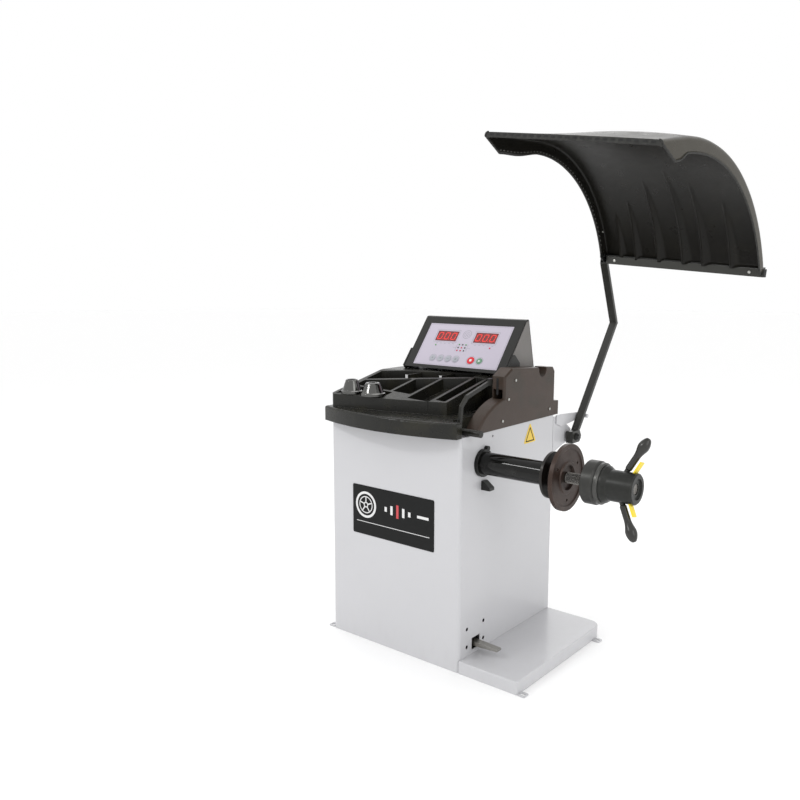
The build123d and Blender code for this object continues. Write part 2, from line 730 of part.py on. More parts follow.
with BuildPart() as nut_hub:
    with BuildSketch(spindle_section):
        with BuildLine():
            Polyline((nut_x0, thread_r + run), (nut_x0, 60), (nut_x0 + 8, 60), (nut_x0 + 22, nut_hub_r),
                     (nut_x1 - 4, nut_hub_r), (nut_x1, nut_hub_r - 4), (nut_x1, 34), (nut_x1 - 6, 32),
                     (nut_x1 - 6, thread_r + run), close=True)
        make_face()
    revolve(axis=spindle_axis)
    for plane in handle_planes.values():
        lever_slot = Plane(origin=plane.origin + plane.z_dir * 40 + Vector(28, 0, 0), x_dir=plane.x_dir,
                           z_dir=plane.z_dir)
        with BuildSketch(lever_slot):
            Rectangle(29, 15)
        extrude(amount=40, mode=Mode.SUBTRACT)
        with BuildSketch(plane.offset(30)):
            Circle(8.5)
        extrude(amount=60, mode=Mode.SUBTRACT)
keep(nut_hub, "nut_hub")

with BuildPart() as nut_handles:
    for plane in handle_planes.values():
        section = Plane(origin=plane.origin, x_dir=plane.x_dir, z_dir=plane.y_dir)
        sense = 1 if section.y_dir.dot(plane.z_dir) > 0 else -1
        with BuildSketch(section):
            with BuildLine():
                r0, end = 32, handle_reach + 48
                Polyline((0, sense * r0), (8.4, sense * r0), (8.4, sense * 62), (11, sense * 66),
                         (11, sense * 108))
                Spline((11, sense * 108), (18, sense * 152), (10, sense * (end - 5)), (0, sense * end),
                       tangents=((0, sense), (-1, 0)))
                Line((0, sense * end), (0, sense * r0))
            make_face()
        revolve(axis=Axis(plane.origin, plane.z_dir))
keep(nut_handles, "nut_handles")

for side, plane in handle_planes.items():
    with BuildPart() as lever:
        lever_plane = Plane(origin=plane.origin + plane.z_dir * 43 + Vector(28, 0, 0), x_dir=plane.x_dir,
                            z_dir=plane.z_dir)
        with BuildSketch(lever_plane):
            RectangleRounded(26, 6, 2)
        extrude(amount=52)
        knuckle_centre = lever_plane.origin + plane.z_dir * 3 - plane.x_dir * 13
        with BuildSketch(Plane(origin=knuckle_centre, x_dir=plane.z_dir, z_dir=plane.x_dir)):
            Circle(4.5)
        extrude(amount=26)
    keep(lever, f"release_lever_{side}")

# ---------------------------------------------------------------- hood
droop = math.radians(hood_droop)
bar_dir = Vector(math.cos(droop), 0, -math.sin(droop))
hood_root = Vector(hood_x, *hood_top)


def hood_plane(side):
    """Section plane of the hood: side is 0 at the arm, 1 halfway and 2 outboard; axes are Y and up."""
    level = Vector(0, 1, 0)
    taper = hood_taper * side / 2
    along = max(hood_t, hood_w * (1 - hood_taper) * side / 2)
    origin = Vector(hood_x, 0, hood_top[1]) + bar_dir * along
    return Plane(origin=origin, x_dir=level + bar_dir * taper, z_dir=bar_dir - level * taper)


def hood_band(side, lip=False):
    """Section of the hood's skin with its front hem, or of a lip with a raked front end."""
    centre_y, centre_z, radius, front_angle = hood_sections[side]
    skin, depth = (1, hood_lip) if lip else (0, hood_t)          # a lip starts inside the skin
    foot_angle = math.degrees(math.asin((hood_foot_z + 2 * skin - centre_z) / radius))

    def at(inset, angle):
        a = math.radians(angle)
        reach = radius - inset
        return centre_y + reach * math.cos(a), centre_z - hood_top[1] + reach * math.sin(a)

    def tip(inset, back=0):
        y, z = at(inset, front_angle)
        front_y = hood_front_y + skin + back
        return front_y, z - (y - front_y) * math.tan(math.radians(front_angle - 90))

    front_y, front_z = tip(skin)
    if lip:
        front = [(front_y + hood_rake, front_z - hood_lip_drops[side])]
    else:
        front = [(front_y, front_z - hood_hem), (front_y + hood_t, front_z - hood_hem), tip(depth, hood_t)]
    mid = (foot_angle + front_angle) / 2
    with BuildSketch(hood_plane(side)) as band:
        with BuildLine():
            ThreePointArc(at(skin, foot_angle), at(skin, mid), at(skin, front_angle))
            Polyline(at(skin, front_angle), tip(skin), *front, at(depth, front_angle))
            ThreePointArc(at(depth, front_angle), at(depth, mid), at(depth, foot_angle))
            Line(at(depth, foot_angle), at(skin, foot_angle))
        make_face()
    return band.sketch


with BuildPart() as hood_shell:
    for side in (0, 1):
        loft([hood_band(side).face(), hood_band(side + 1).face()], ruled=True)
    for side, inward in ((0, 1), (2, -1)):
        extrude(hood_band(side, lip=True), amount=inward * hood_t)
keep(hood_shell, "hood_shell")

with BuildPart() as hood_arm:
    with BuildLine() as arm_line:
        foot = (hood_x, hood_pivot[0] + 15, hood_pivot[1] + 20)
        Polyline(foot, (hood_x, *hood_bend), (hood_x, *hood_top))
    with BuildSketch(Plane(origin=foot, z_dir=arm_line.edges()[0] % 0)):
        Rectangle(arm_side, arm_side)
        Rectangle(arm_side - 2 * arm_wall, arm_side - 2 * arm_wall, mode=Mode.SUBTRACT)
    sweep(path=arm_line.line, transition=Transition.RIGHT)
    with BuildSketch(at_x(hood_x - arm_side / 2)):
        with BuildLine():
            Polyline((hood_pivot[0] - 32, hood_pivot[1] - 24), (hood_pivot[0] + 26, hood_pivot[1] - 24),
                     (hood_pivot[0] + 40, hood_pivot[1]), (hood_pivot[0] + 26, hood_pivot[1] + 24),
                     (hood_pivot[0] - 32, hood_pivot[1] + 24), close=True)
        make_face()
    extrude(amount=arm_side)
    with BuildSketch(at_x(hood_x - arm_side / 2 - 1)):
        with Locations(hood_pivot):
            Circle(pin_r + run)
    extrude(amount=arm_side + 2, mode=Mode.SUBTRACT)
keep(hood_arm, "hood_arm")

with BuildPart() as hood_crossbar:
    with BuildSketch(Plane(origin=hood_root + bar_dir * (arm_side / 2 + 3), x_dir=(0, 1, 0), z_dir=bar_dir)):
        Rectangle(arm_side, arm_side)
        Rectangle(arm_side - 2 * arm_wall, arm_side - 2 * arm_wall, mode=Mode.SUBTRACT)
    extrude(amount=hood_w - arm_side / 2 - 3)
keep(hood_crossbar, "hood_crossbar")

with BuildPart() as hood_bracket:
    with BuildSketch(at_x(right - 6)):
        with BuildLine():
            Polyline((rear + 6, 690), (rear + 6, 835), (rear + 40, 835), (hood_pivot[0] + 22, 770),
                     (hood_pivot[0] + 22, 722), (hood_pivot[0] - 30, 716), close=True)
        make_face()
        with Locations(hood_pivot):
            Circle(pin_r + 0.1, mode=Mode.SUBTRACT)
    extrude(amount=6)
    with BuildSketch(at_y(rear + panel_t + 2 * gap)):
        with Locations((right - 55, 762)):
            Rectangle(110, 145)
    extrude(amount=-6)
keep(hood_bracket, "hood_bracket")

with BuildPart() as hood_pivot_pin:
    with BuildSketch(at_x(right - 20)):
        with Locations(hood_pivot):
            Circle(pin_r)
    extrude(amount=68)
    with BuildSketch(at_x(right - 20)):
        with Locations(hood_pivot):
            RegularPolygon(17, 6)
    extrude(amount=12)
    with BuildSketch(at_x(right + 42)):
        with Locations(hood_pivot):
            Circle(16)
    extrude(amount=12, taper=25)
keep(hood_pivot_pin, "hood_pivot_pin")

arm_dir = Vector(0, hood_bend[0] - hood_pivot[0], hood_bend[1] - hood_pivot[1]).normalized()
stop_centre = (hood_pivot[0] + 110 * arm_dir.Y + 23.5 * arm_dir.Z,
               hood_pivot[1] + 110 * arm_dir.Z - 23.5 * arm_dir.Y)
with BuildPart() as hood_stop:
    with BuildSketch(at_x(right + gap)):
        with BuildLine():
            Polyline((rear + 20, 805), (rear + 20, 840), (rear + 60, 840),
                     (stop_centre[0] + 12, stop_centre[1] + 12), (stop_centre[0] + 12, stop_centre[1] - 12),
                     (rear + 60, 790), close=True)
        make_face()
    extrude(amount=5)
    with BuildSketch(at_x(right + 5)):
        with Locations(stop_centre):
            Circle(8)
    extrude(amount=hood_x + arm_side / 2 - right - 2)
keep(hood_stop, "hood_stop")

# ---------------------------------------------------------------- side fittings, pedal and brake
with BuildPart() as tool_hanger:
    with BuildSketch(at_y(spindle_y + 26)):
        with BuildLine():
            Polyline((right + gap, 642), (right + gap, 674), (right + 8, 674), (right + 36, 652),
                     (right + 36, 642), close=True)
        make_face()
    extrude(amount=30)
keep(tool_hanger, "tool_hanger")

with BuildPart() as pedal_bracket:
    for y in (pedal_y - 22, pedal_y + 18):
        with BuildSketch(at_y(y + 4)):
            with BuildLine():
                Polyline((pedal_pivot_x - 14, sheet + gap), (right - sheet - gap, sheet + gap),
                         (right - sheet - gap, pedal_z + 22), (pedal_pivot_x - 14, pedal_z + 14), close=True)
            make_face()
            with Locations((pedal_pivot_x, pedal_z)):
                Circle(6.1, mode=Mode.SUBTRACT)
        extrude(amount=4)
    with BuildSketch(at_y(pedal_y + 26)):
        with Locations((pedal_pivot_x, pedal_z)):
            Circle(6)
    extrude(amount=52)
keep(pedal_bracket, "pedal_bracket")

with BuildPart() as brake_pedal:
    with BuildSketch(at_y(pedal_y + 14)):
        with BuildLine():
            boss_x0, boss_x1, tip_x = pedal_pivot_x - 12, pedal_pivot_x + 12, right + 100
            Polyline((rod_x - 2, pedal_z - 6), (boss_x0, pedal_z - 10), (boss_x1, pedal_z - 10),
                     (tip_x, pedal_z - 4), (tip_x, pedal_z + 4), (boss_x1, pedal_z + 10),
                     (boss_x0, pedal_z + 10), (rod_x - 2, pedal_z + 4), close=True)
        make_face()
        with Locations((pedal_pivot_x, pedal_z)):
            Circle(6 + run, mode=Mode.SUBTRACT)
    extrude(amount=28)
keep(brake_pedal, "brake_pedal")

rod_y = spindle_y - 20
shoe_top = spindle_z - drum_r - shoe_gap
with BuildPart() as brake_rod:
    with BuildSketch(Plane.XY.offset(pedal_z + 5)):
        with Locations((rod_x, rod_y)):
            Circle(5)
    extrude(amount=shoe_top - 18 - pedal_z)
    with BuildSketch(Plane.XY.offset(shoe_top - 15)):
        with Locations((rod_x, spindle_y)):
            Rectangle(12, 60)
    extrude(amount=15)
keep(brake_rod, "brake_rod")


# ---------------------------------------------------------------- distance gauge
with BuildPart() as gauge_rod:
    with BuildSketch(at_x(-100)):
        with Locations((gauge_y, gauge_z)):
            Circle(gauge_rod_r)
    extrude(amount=258 + 100)
keep(gauge_rod, "gauge_rod")

with BuildPart() as gauge_arm:
    with BuildSketch(at_x(262)):
        with BuildLine():
            bar = Polyline((gauge_y, gauge_z), (-258, 945), (-226, 974), (-78, 1014))
            offset(bar.edges(), amount=7, side=Side.BOTH)
        make_face()
        with Locations((gauge_y, gauge_z)):
            Circle(12)
        with Locations((-84, 1012)):
            Rectangle(22, 26)
    extrude(amount=10)
    with BuildSketch(at_x(259)):
        with Locations((gauge_y, gauge_z)):
            Circle(12)
    extrude(amount=100)
keep(gauge_arm, "gauge_arm")

# ---------------------------------------------------------------- mains inlet and switch
with BuildPart() as mains_inlet:
    with BuildSketch(at_y(rear + gap + panel_t + 0.2)):
        with Locations(((inlet_place[0] + switch_place[0]) / 2, inlet_place[1])):
            RectangleRounded(124, 62, 4)
        with Locations(switch_place):
            Rectangle(19, 27, mode=Mode.SUBTRACT)
    extrude(amount=-3)
    with BuildSketch(at_y(rear + gap + panel_t + 0.2)):
        with Locations(inlet_place):
            Rectangle(27, 47)
    extrude(amount=24)
    with BuildSketch(at_y(rear + gap + panel_t + 4)):
        with Locations(inlet_place):
            RectangleRounded(20, 26, 3)
    extrude(amount=20, mode=Mode.SUBTRACT)
keep(mains_inlet, "mains_inlet")

with BuildPart() as power_switch:
    rocker_y = rear + gap + panel_t
    rocker_pivot_in = 8
    with BuildSketch(at_x(switch_place[0] - 9)):
        with BuildLine():
            Polyline((rocker_y - 8, 192), (rocker_y + 1, 189), (rocker_y + 3, 200), (rocker_y + 6, 210),
                     (rocker_y - 8, 208), close=True)
        make_face()
        with Locations((rocker_y - rocker_pivot_in, switch_place[1])):
            Circle(rocker_pivot_in)
    extrude(amount=18)
keep(power_switch, "power_switch")
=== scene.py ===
"""Looks of a floor-standing wheel balancer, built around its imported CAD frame. Units are metres."""
import math

import bmesh
import bpy
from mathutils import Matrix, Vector


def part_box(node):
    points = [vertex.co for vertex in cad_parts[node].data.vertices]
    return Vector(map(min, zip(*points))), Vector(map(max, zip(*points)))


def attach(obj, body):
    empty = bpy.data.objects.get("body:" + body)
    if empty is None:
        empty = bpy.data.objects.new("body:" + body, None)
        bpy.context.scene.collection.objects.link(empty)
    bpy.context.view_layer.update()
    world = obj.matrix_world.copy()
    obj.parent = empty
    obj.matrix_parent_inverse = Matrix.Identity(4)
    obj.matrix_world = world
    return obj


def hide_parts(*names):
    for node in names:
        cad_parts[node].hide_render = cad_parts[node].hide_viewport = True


MM = 0.001
DUST = (0.30, 0.28, 0.25)  # the colour of settled dirt
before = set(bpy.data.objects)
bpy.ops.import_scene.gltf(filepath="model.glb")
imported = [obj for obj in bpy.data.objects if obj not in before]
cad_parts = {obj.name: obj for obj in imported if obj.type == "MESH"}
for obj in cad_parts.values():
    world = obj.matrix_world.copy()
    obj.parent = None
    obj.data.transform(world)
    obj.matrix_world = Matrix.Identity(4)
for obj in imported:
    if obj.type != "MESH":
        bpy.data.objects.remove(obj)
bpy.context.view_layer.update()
scene = bpy.context.scene
X, Y, Z = Vector((1, 0, 0)), Vector((0, 1, 0)), Vector((0, 0, 1))


# ---------------------------------------------------------------- materials
class Finish:
    """One material: a Principled shader with procedural colour, roughness and relief layered on it."""

    def __init__(self, name, colour, roughness, metallic=0.0, **sockets):
        self.material = bpy.data.materials.new(name)
        self.material.use_nodes = True
        self.tree = self.material.node_tree
        self.shader = self.tree.nodes["Principled BSDF"]
        self.shader.inputs["Base Color"].default_value = (*colour, 1)
        self.shader.inputs["Roughness"].default_value = roughness
        self.shader.inputs["Metallic"].default_value = metallic
        for socket, value in sockets.items():
            self.shader.inputs[socket.replace("_", " ")].default_value = value
        self.colour, self.roughness, self.normal = (*colour, 1), roughness, None
        self.coords = self.node("ShaderNodeTexCoord").outputs["Object"]

    def node(self, kind, **settings):
        """A new node with its settings."""
        made = self.tree.nodes.new(kind)
        for key, value in settings.items():
            setattr(made, key, value)
        return made

    def link(self, source, socket):
        """Set a socket to a plain value, or join another node's output to it."""
        if isinstance(source, (int, float, tuple)):
            socket.default_value = source
        else:
            self.tree.links.new(source, socket)

    def math(self, operation, a, b=0.0, clamp=False):
        made = self.node("ShaderNodeMath", operation=operation, use_clamp=clamp)
        self.link(a, made.inputs[0])
        self.link(b, made.inputs[1])
        return made.outputs[0]

    def stretched(self, stretch):
        """The object coordinates scaled per axis: a small number draws a pattern out along it."""
        made = self.node("ShaderNodeMapping")
        made.inputs["Scale"].default_value = stretch
        self.link(self.coords, made.inputs["Vector"])
        return made.outputs["Vector"]

    def noise(self, scale, detail=3.0, stretch=None, offset=0.0):
        made = self.node("ShaderNodeTexNoise", noise_dimensions="4D")
        made.inputs["Scale"].default_value = scale
        made.inputs["Detail"].default_value = detail
        made.inputs["W"].default_value = offset
        self.link(self.stretched(stretch) if stretch else self.coords, made.inputs["Vector"])
        return made.outputs["Fac"]

    def cells(self, scale):
        made = self.node("ShaderNodeTexVoronoi")
        made.inputs["Scale"].default_value = scale
        self.link(self.coords, made.inputs["Vector"])
        return made.outputs["Distance"]

    def band(self, value, low, high, out_low=0.0, out_high=1.0):
        """Value mapped from low..high to out_low..out_high, smooth and clamped."""
        made = self.node("ShaderNodeMapRange", interpolation_type="SMOOTHSTEP")
        for socket, source in zip(made.inputs, (value, low, high, out_low, out_high)):
            self.link(source, socket)
        return made.outputs["Result"]

    def turned(self, centre, pitch):
        """Rings of that pitch about a line along X, as a lathe leaves them."""
        away = self.node("ShaderNodeVectorMath", operation="SUBTRACT")
        self.link(self.coords, away.inputs[0])
        away.inputs[1].default_value = centre
        flat = self.node("ShaderNodeVectorMath", operation="MULTIPLY")
        self.link(away.outputs[0], flat.inputs[0])
        flat.inputs[1].default_value = (0, 1, 1)
        radius = self.node("ShaderNodeVectorMath", operation="LENGTH")
        self.link(flat.outputs[0], radius.inputs[0])
        along = self.node("ShaderNodeSeparateXYZ")
        self.link(self.coords, along.inputs[0])
        path = self.math("ADD", radius.outputs["Value"], along.outputs["X"])
        wave = self.math("SINE", self.math("MULTIPLY", path, math.tau / pitch))
        return self.math("ADD", self.math("MULTIPLY", wave, 0.5), 0.5)

    def height(self, low, high):
        """0 below one height above the floor and 1 over the other."""
        split = self.node("ShaderNodeSeparateXYZ")
        self.link(self.coords, split.inputs[0])
        return self.band(split.outputs["Z"], low, high)

    def edges(self, radius, gain=6.0):
        """1 along sharp edges and 0 on flats, from a rounded normal against the plain one."""
        soft = self.node("ShaderNodeBevel", samples=6)
        soft.inputs["Radius"].default_value = radius
        plain = self.node("ShaderNodeNewGeometry")
        dot = self.node("ShaderNodeVectorMath", operation="DOT_PRODUCT")
        self.link(soft.outputs["Normal"], dot.inputs[0])
        self.link(plain.outputs["Normal"], dot.inputs[1])
        sharp = self.math("SUBTRACT", 1.0, dot.outputs["Value"])
        return self.math("MULTIPLY", sharp, gain, clamp=True)

    def tint(self, mask, colour, amount=1.0):
        """Mix in another colour where the mask is high."""
        mix = self.node("ShaderNodeMix", data_type="RGBA")
        self.link(self.math("MULTIPLY", mask, amount, clamp=True), mix.inputs["Factor"])
        self.link(self.colour, mix.inputs["A"])
        mix.inputs["B"].default_value = (*colour, 1)
        self.colour = mix.outputs["Result"]
        self.link(self.colour, self.shader.inputs["Base Color"])
        return self

    def rough(self, mask, amount):
        """Add amount to the roughness where the mask is 1, and take as much away where it is 0."""
        change = self.math("MULTIPLY", self.math("SUBTRACT", mask, 0.5), 2 * amount)
        self.roughness = self.math("ADD", self.roughness, change, clamp=True)
        self.link(self.roughness, self.shader.inputs["Roughness"])
        return self

    def rounded(self, radius):
        """Catch light on sharp edges as a small real radius would."""
        soft = self.node("ShaderNodeBevel", samples=6)
        soft.inputs["Radius"].default_value = radius
        self.normal = soft.outputs["Normal"]
        self.link(self.normal, self.shader.inputs["Normal"])
        return self

    def relief(self, mask, depth):
        """Raise the surface by depth metres where the mask is 1."""
        bump = self.node("ShaderNodeBump")
        bump.inputs["Distance"].default_value = depth
        bump.inputs["Strength"].default_value = 1.0
        self.link(mask, bump.inputs["Height"])
        if self.normal is not None:
            self.link(self.normal, bump.inputs["Normal"])
        self.normal = bump.outputs["Normal"]
        self.link(self.normal, self.shader.inputs["Normal"])
        return self


spindle_lo, spindle_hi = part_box("spindle_shaft")
SPINDLE = (spindle_lo + spindle_hi) / 2
motor_lo, motor_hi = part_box("motor_body")
MOTOR = (motor_lo + motor_hi) / 2


def painted(name, colour, roughness=0.36, grime=0.0, peel=0.00006, coat=0.4):
    """Powder coat: orange peel, slow colour drift, and a little dirt near the floor."""
    f = Finish(name, colour, roughness, Coat_Weight=coat, Coat_Roughness=0.12, Specular_IOR_Level=0.35)
    darker = tuple(c * 0.93 for c in colour)
    f.rounded(1.2 * MM)
    f.tint(f.noise(3.5, 5), darker, 0.8)
    f.tint(f.band(f.noise(55, 4, offset=2), 0.6, 0.78), tuple(c * 0.88 for c in colour), 0.35)
    if grime:
        low = f.math("SUBTRACT", 1.0, f.height(0.0, 0.16))
        scuff = f.band(f.noise(38, 6, (1, 1, 0.35)), 0.45, 0.7)
        f.tint(f.math("MULTIPLY", low, scuff), DUST, grime)
    f.rough(f.noise(18, 4, offset=5), 0.07)
    f.relief(f.noise(750, 2), peel)
    return f


def moulded(name, colour, roughness, grain=0.00007, dust=0.12, streak=None, painted_light_colour=None, specular=0.30):
    """Moulded plastic: fine grain, worn glossy patches, and dust in what faces up.

    streak is a second colour in patches. The last colour lightens the hood's outboard lip and the parts that
    face up: painted light, for where light falls on them.
    """
    f = Finish(name, colour, roughness, Specular_IOR_Level=specular)
    f.rounded(1.5 * MM)
    f.tint(f.noise(9, 5), tuple(c * 1.5 + 0.004 for c in colour), 0.7)
    if streak:
        f.tint(f.band(f.noise(14, 3, offset=9), 0.45, 0.75), streak, 0.6)
    up = f.node("ShaderNodeSeparateXYZ")
    f.link(f.node("ShaderNodeTexCoord").outputs["Normal"], up.inputs[0])
    settled = f.math("MULTIPLY", f.band(up.outputs["Z"], 0.55, 1.0), f.band(f.noise(60, 6), 0.35, 0.8))
    f.tint(settled, DUST, dust)
    # Painted light: the hood's outboard face and its top are made lighter, as where they are lit.
    if painted_light_colour:
        place = f.node("ShaderNodeSeparateXYZ")
        f.link(f.coords, place.inputs[0])
        outer = f.math("MULTIPLY", f.band(place.outputs["X"], 0.86, 0.91), f.band(up.outputs["X"], 0.2, 0.8))
        f.tint(outer, painted_light_colour, 0.9)
        f.tint(f.math("MULTIPLY", f.band(up.outputs["Z"], 0.1, 0.7), f.noise(30, 4)), painted_light_colour, 0.9)
    f.tint(f.edges(1.0 * MM), tuple(c * 2.2 + 0.02 for c in colour), 0.5)
    f.rough(f.noise(22, 5, offset=4), 0.09)
    f.relief(f.cells(1500), grain)
    f.relief(f.noise(120, 2), 0.00012)
    return f


def machined(name, colour, roughness, centre, pitch=0.0011, metallic=1.0, wear=(0.5, 0.5, 0.5), patina=None):
    """Turned metal with tool rings about the spindle line, smudges and bright worn edges."""
    f = Finish(name, colour, roughness, metallic, Anisotropic=0.4)
    f.rounded(0.8 * MM)
    f.tint(f.noise(26, 5), tuple(c * 0.7 for c in colour), 0.6)
    if patina:
        f.tint(f.band(f.noise(17, 6, offset=3), 0.42, 0.72), patina, 0.7)
    f.tint(f.edges(1.0 * MM, 8), wear, 0.6)
    f.rough(f.noise(40, 5, offset=6), 0.12)
    f.relief(f.turned(centre, pitch), 0.00002)
    return f


def cast(name, colour, roughness, metallic=0.4, grit=0.00025):
    """Sand-cast or phosphated surface: coarse grit and a dull sheen."""
    f = Finish(name, colour, roughness, metallic, Specular_IOR_Level=0.25)
    f.rounded(1.2 * MM)
    f.tint(f.noise(70, 6), tuple(c * 1.7 + 0.01 for c in colour), 0.6)
    f.tint(f.edges(1.2 * MM, 7), tuple(c * 2.5 + 0.05 for c in colour), 0.6)
    f.rough(f.noise(45, 4, offset=8), 0.1)
    f.relief(f.noise(420, 5), grit)
    return f


def glossy(name, colour, roughness=0.16):
    """Gloss enamel over steel, with a faint ripple and hairline scratches."""
    f = Finish(name, colour, roughness, Coat_Weight=0.20, Coat_Roughness=0.05, Specular_IOR_Level=0.15)
    f.rounded(1.0 * MM)
    f.tint(f.band(f.noise(30, 5), 0.5, 0.8), tuple(c * 2 + 0.01 for c in colour), 0.6)
    f.rough(f.band(f.noise(160, 3, (0.06, 1, 1)), 0.5, 0.75), 0.07)
    f.relief(f.noise(30, 2), 0.00012)
    return f


def printed(name, colour, roughness=0.32, flake=None, coat=0.25, specular=0.35):
    """Printed film: nearly even, with a fine speckle and soft handling marks."""
    f = Finish(name, colour, roughness, Coat_Weight=coat, Coat_Roughness=0.12, Specular_IOR_Level=specular)
    f.tint(f.noise(2600, 1), flake or tuple(c * 0.86 for c in colour), 0.5)
    f.tint(f.band(f.noise(24, 5), 0.52, 0.8), tuple(c * 0.9 for c in colour), 0.5)
    f.rough(f.noise(50, 4), 0.06)
    f.relief(f.noise(900, 2), 0.00002)
    return f


def lit(name, colour, strength):
    """A lamp or display segment: a coloured lens that glows a little unevenly."""
    f = Finish(name, colour, 0.25, Emission_Color=(*colour, 1), Emission_Strength=strength)
    f.tint(f.noise(700, 2), tuple(min(1, c * 1.3 + 0.03) for c in colour), 0.5)
    f.relief(f.noise(500, 2), 0.00003)
    return f


def board(name, colour):
    """Circuit board: lacquered, with copper tracks showing through as lighter lines."""
    f = Finish(name, colour, 0.35, Coat_Weight=0.4, Coat_Roughness=0.15)
    f.tint(f.band(f.noise(260, 0, (1, 0.15, 1)), 0.52, 0.56), tuple(c * 2 + 0.02 for c in colour), 0.6)
    f.tint(f.band(f.noise(240, 0, (0.15, 1, 1), 4), 0.55, 0.58), (0.4, 0.36, 0.2), 0.3)
    f.relief(f.noise(300, 1), 0.00005)
    return f


def rubbery(name, colour=(0.02, 0.02, 0.02)):
    """Rubber: dull, with a pale bloom."""
    f = Finish(name, colour, 0.75)
    f.tint(f.band(f.noise(80, 5), 0.4, 0.8), tuple(c * 2.5 + 0.01 for c in colour), 0.5)
    f.rough(f.noise(120, 3), 0.08)
    f.relief(f.noise(800, 3), 0.00008)
    return f


def glowing_window_glass(name):
    """Dark red filter over the displays, with a faint glow painted into it: painted light, as the filter is
    no lamp.
    """
    # Painted light: the filter itself glows faintly.
    f = Finish(name, (0.11, 0.004, 0.005), 0.12, Coat_Weight=0.6, Coat_Roughness=0.05,
               Emission_Color=(0.5, 0.01, 0.015, 1), Emission_Strength=0.10)
    f.tint(f.noise(60, 4), (0.07, 0.003, 0.004), 0.6)
    f.rough(f.noise(90, 4), 0.04)
    return f


cabinet_paint = painted("cabinet_paint", (0.545, 0.545, 0.562), grime=0.05)
zinc = machined("zinc_plate", (0.55, 0.55, 0.52), 0.34, tuple(SPINDLE), patina=(0.42, 0.42, 0.38))
plate_dark = printed("plate_charcoal", (0.009, 0.0095, 0.0095), 0.42, (0.016, 0.016, 0.016), 0.0, 0.12)
print_light = printed("print_light", (0.72, 0.72, 0.72))
print_red = printed("print_red", (0.55, 0.05, 0.06))
print_grey = printed("print_grey", (0.26, 0.26, 0.29))
label_yellow = printed("label_yellow", (0.80, 0.55, 0.05))
tray_plastic = moulded("tray_plastic", (0.0080, 0.0080, 0.0065), 0.28, dust=0.07,
                       streak=(0.024, 0.022, 0.013))
cowl_plastic = moulded("cowl_plastic", (0.040, 0.026, 0.019), 0.36, dust=0.04,
                       streak=(0.030, 0.026, 0.018))
cheek_plastic = moulded("cheek_plastic", (0.16, 0.152, 0.145), 0.46, dust=0.05)
head_plastic = moulded("head_plastic", (0.013, 0.013, 0.012), 0.34, dust=0.06)
# Pale grey of the painted highlight on the dividers' front edges.
divider_grey = moulded("divider_grey", (0.50, 0.50, 0.50), 0.42, dust=0.05)
# The hood's last colour is painted light on its outboard lip and top.
hood_plastic = moulded("hood_plastic", (0.006, 0.0054, 0.0042), 0.30, grain=0.00006, dust=0.10,
                       streak=(0.011, 0.010, 0.007), painted_light_colour=(0.044, 0.039, 0.028), specular=0.15)
hood_trim = rubbery("hood_trim", (0.018, 0.018, 0.016))
# Lighter rubber for the inboard lip studs: a painted highlight for glints along that edge.
trim_glint = rubbery("trim_glint", (0.10, 0.10, 0.092))
# Near-black: painted shade in the hem slots and the cowl slot, and also the colour of the crossbar's plug.
notch_dark = rubbery("notch_dark", (0.006, 0.006, 0.006))
fascia_silver = printed("fascia_silver", (0.50, 0.46, 0.54), 0.34, (0.38, 0.35, 0.42))
window_red = glowing_window_glass("window_red")
digit_dark = board("digit_dark", (0.03, 0.005, 0.005))
segment_lit = lit("segment_lit", (0.55, 0.022, 0.016), 0.45)
lamp_green = lit("lamp_green", (0.05, 0.22, 0.05), 0.3)
lamp_red = lit("lamp_red", (0.45, 0.03, 0.07), 0.4)
lamp_off = printed("lamp_off", (0.05, 0.06, 0.05))
board_green = board("board_green", (0.02, 0.13, 0.05))
key_grey = moulded("key_grey", (0.30, 0.31, 0.34), 0.5, dust=0.0)
key_red = moulded("key_red", (0.50, 0.02, 0.03), 0.42, dust=0.0)
key_green = moulded("key_green", (0.12, 0.23, 0.15), 0.42, dust=0.0)
tube_black = glossy("tube_black", (0.005, 0.005, 0.0045), 0.10)
flange_dark = machined("flange_dark", (0.042, 0.023, 0.016), 0.40, tuple(SPINDLE), 0.0016, 0.45,
                       wear=(0.14, 0.10, 0.08), patina=(0.020, 0.012, 0.009))
disc_dark = machined("disc_dark", (0.016, 0.014, 0.012), 0.34, tuple(SPINDLE), 0.0016, 0.4,
                     wear=(0.1, 0.09, 0.08))
steel = machined("steel_turned", (0.52, 0.51, 0.49), 0.27, tuple(SPINDLE))
thread_steel = machined("thread_steel", (0.20, 0.19, 0.175), 0.26, tuple(SPINDLE), patina=(0.07, 0.06, 0.05))
steel_dull = machined("steel_dull", (0.40, 0.39, 0.36), 0.36, tuple(SPINDLE), patina=(0.25, 0.22, 0.18))
chrome = machined("cone_chrome", (0.13, 0.13, 0.125), 0.09, tuple(SPINDLE), 0.0009)
nut_grey = cast("nut_grey", (0.014, 0.0145, 0.013), 0.34, 0.2, 0.00012)
cup_grey = cast("cup_grey", (0.030, 0.030, 0.028), 0.34, 0.35, 0.00012)
ring_grey = cast("ring_grey", (0.055, 0.055, 0.052), 0.30, 0.5, 0.0001)
grip_dark = moulded("grip_dark", (0.014, 0.014, 0.012), 0.20, dust=0.02, specular=0.5)
lever_yellow = moulded("lever_yellow", (0.72, 0.56, 0.03), 0.36, dust=0.04)
arm_paint = painted("arm_paint", (0.020, 0.020, 0.017), 0.34, coat=0.1)
bar_paint = painted("bar_paint", (0.034, 0.034, 0.029), 0.34, coat=0.1)
bracket_paint = painted("bracket_paint", (0.008, 0.008, 0.008), 0.40, coat=0.05)
frame_primer = painted("frame_primer", (0.22, 0.22, 0.23), 0.5)
motor_paint = cast("motor_paint", (0.12, 0.13, 0.14), 0.5, 0.1)
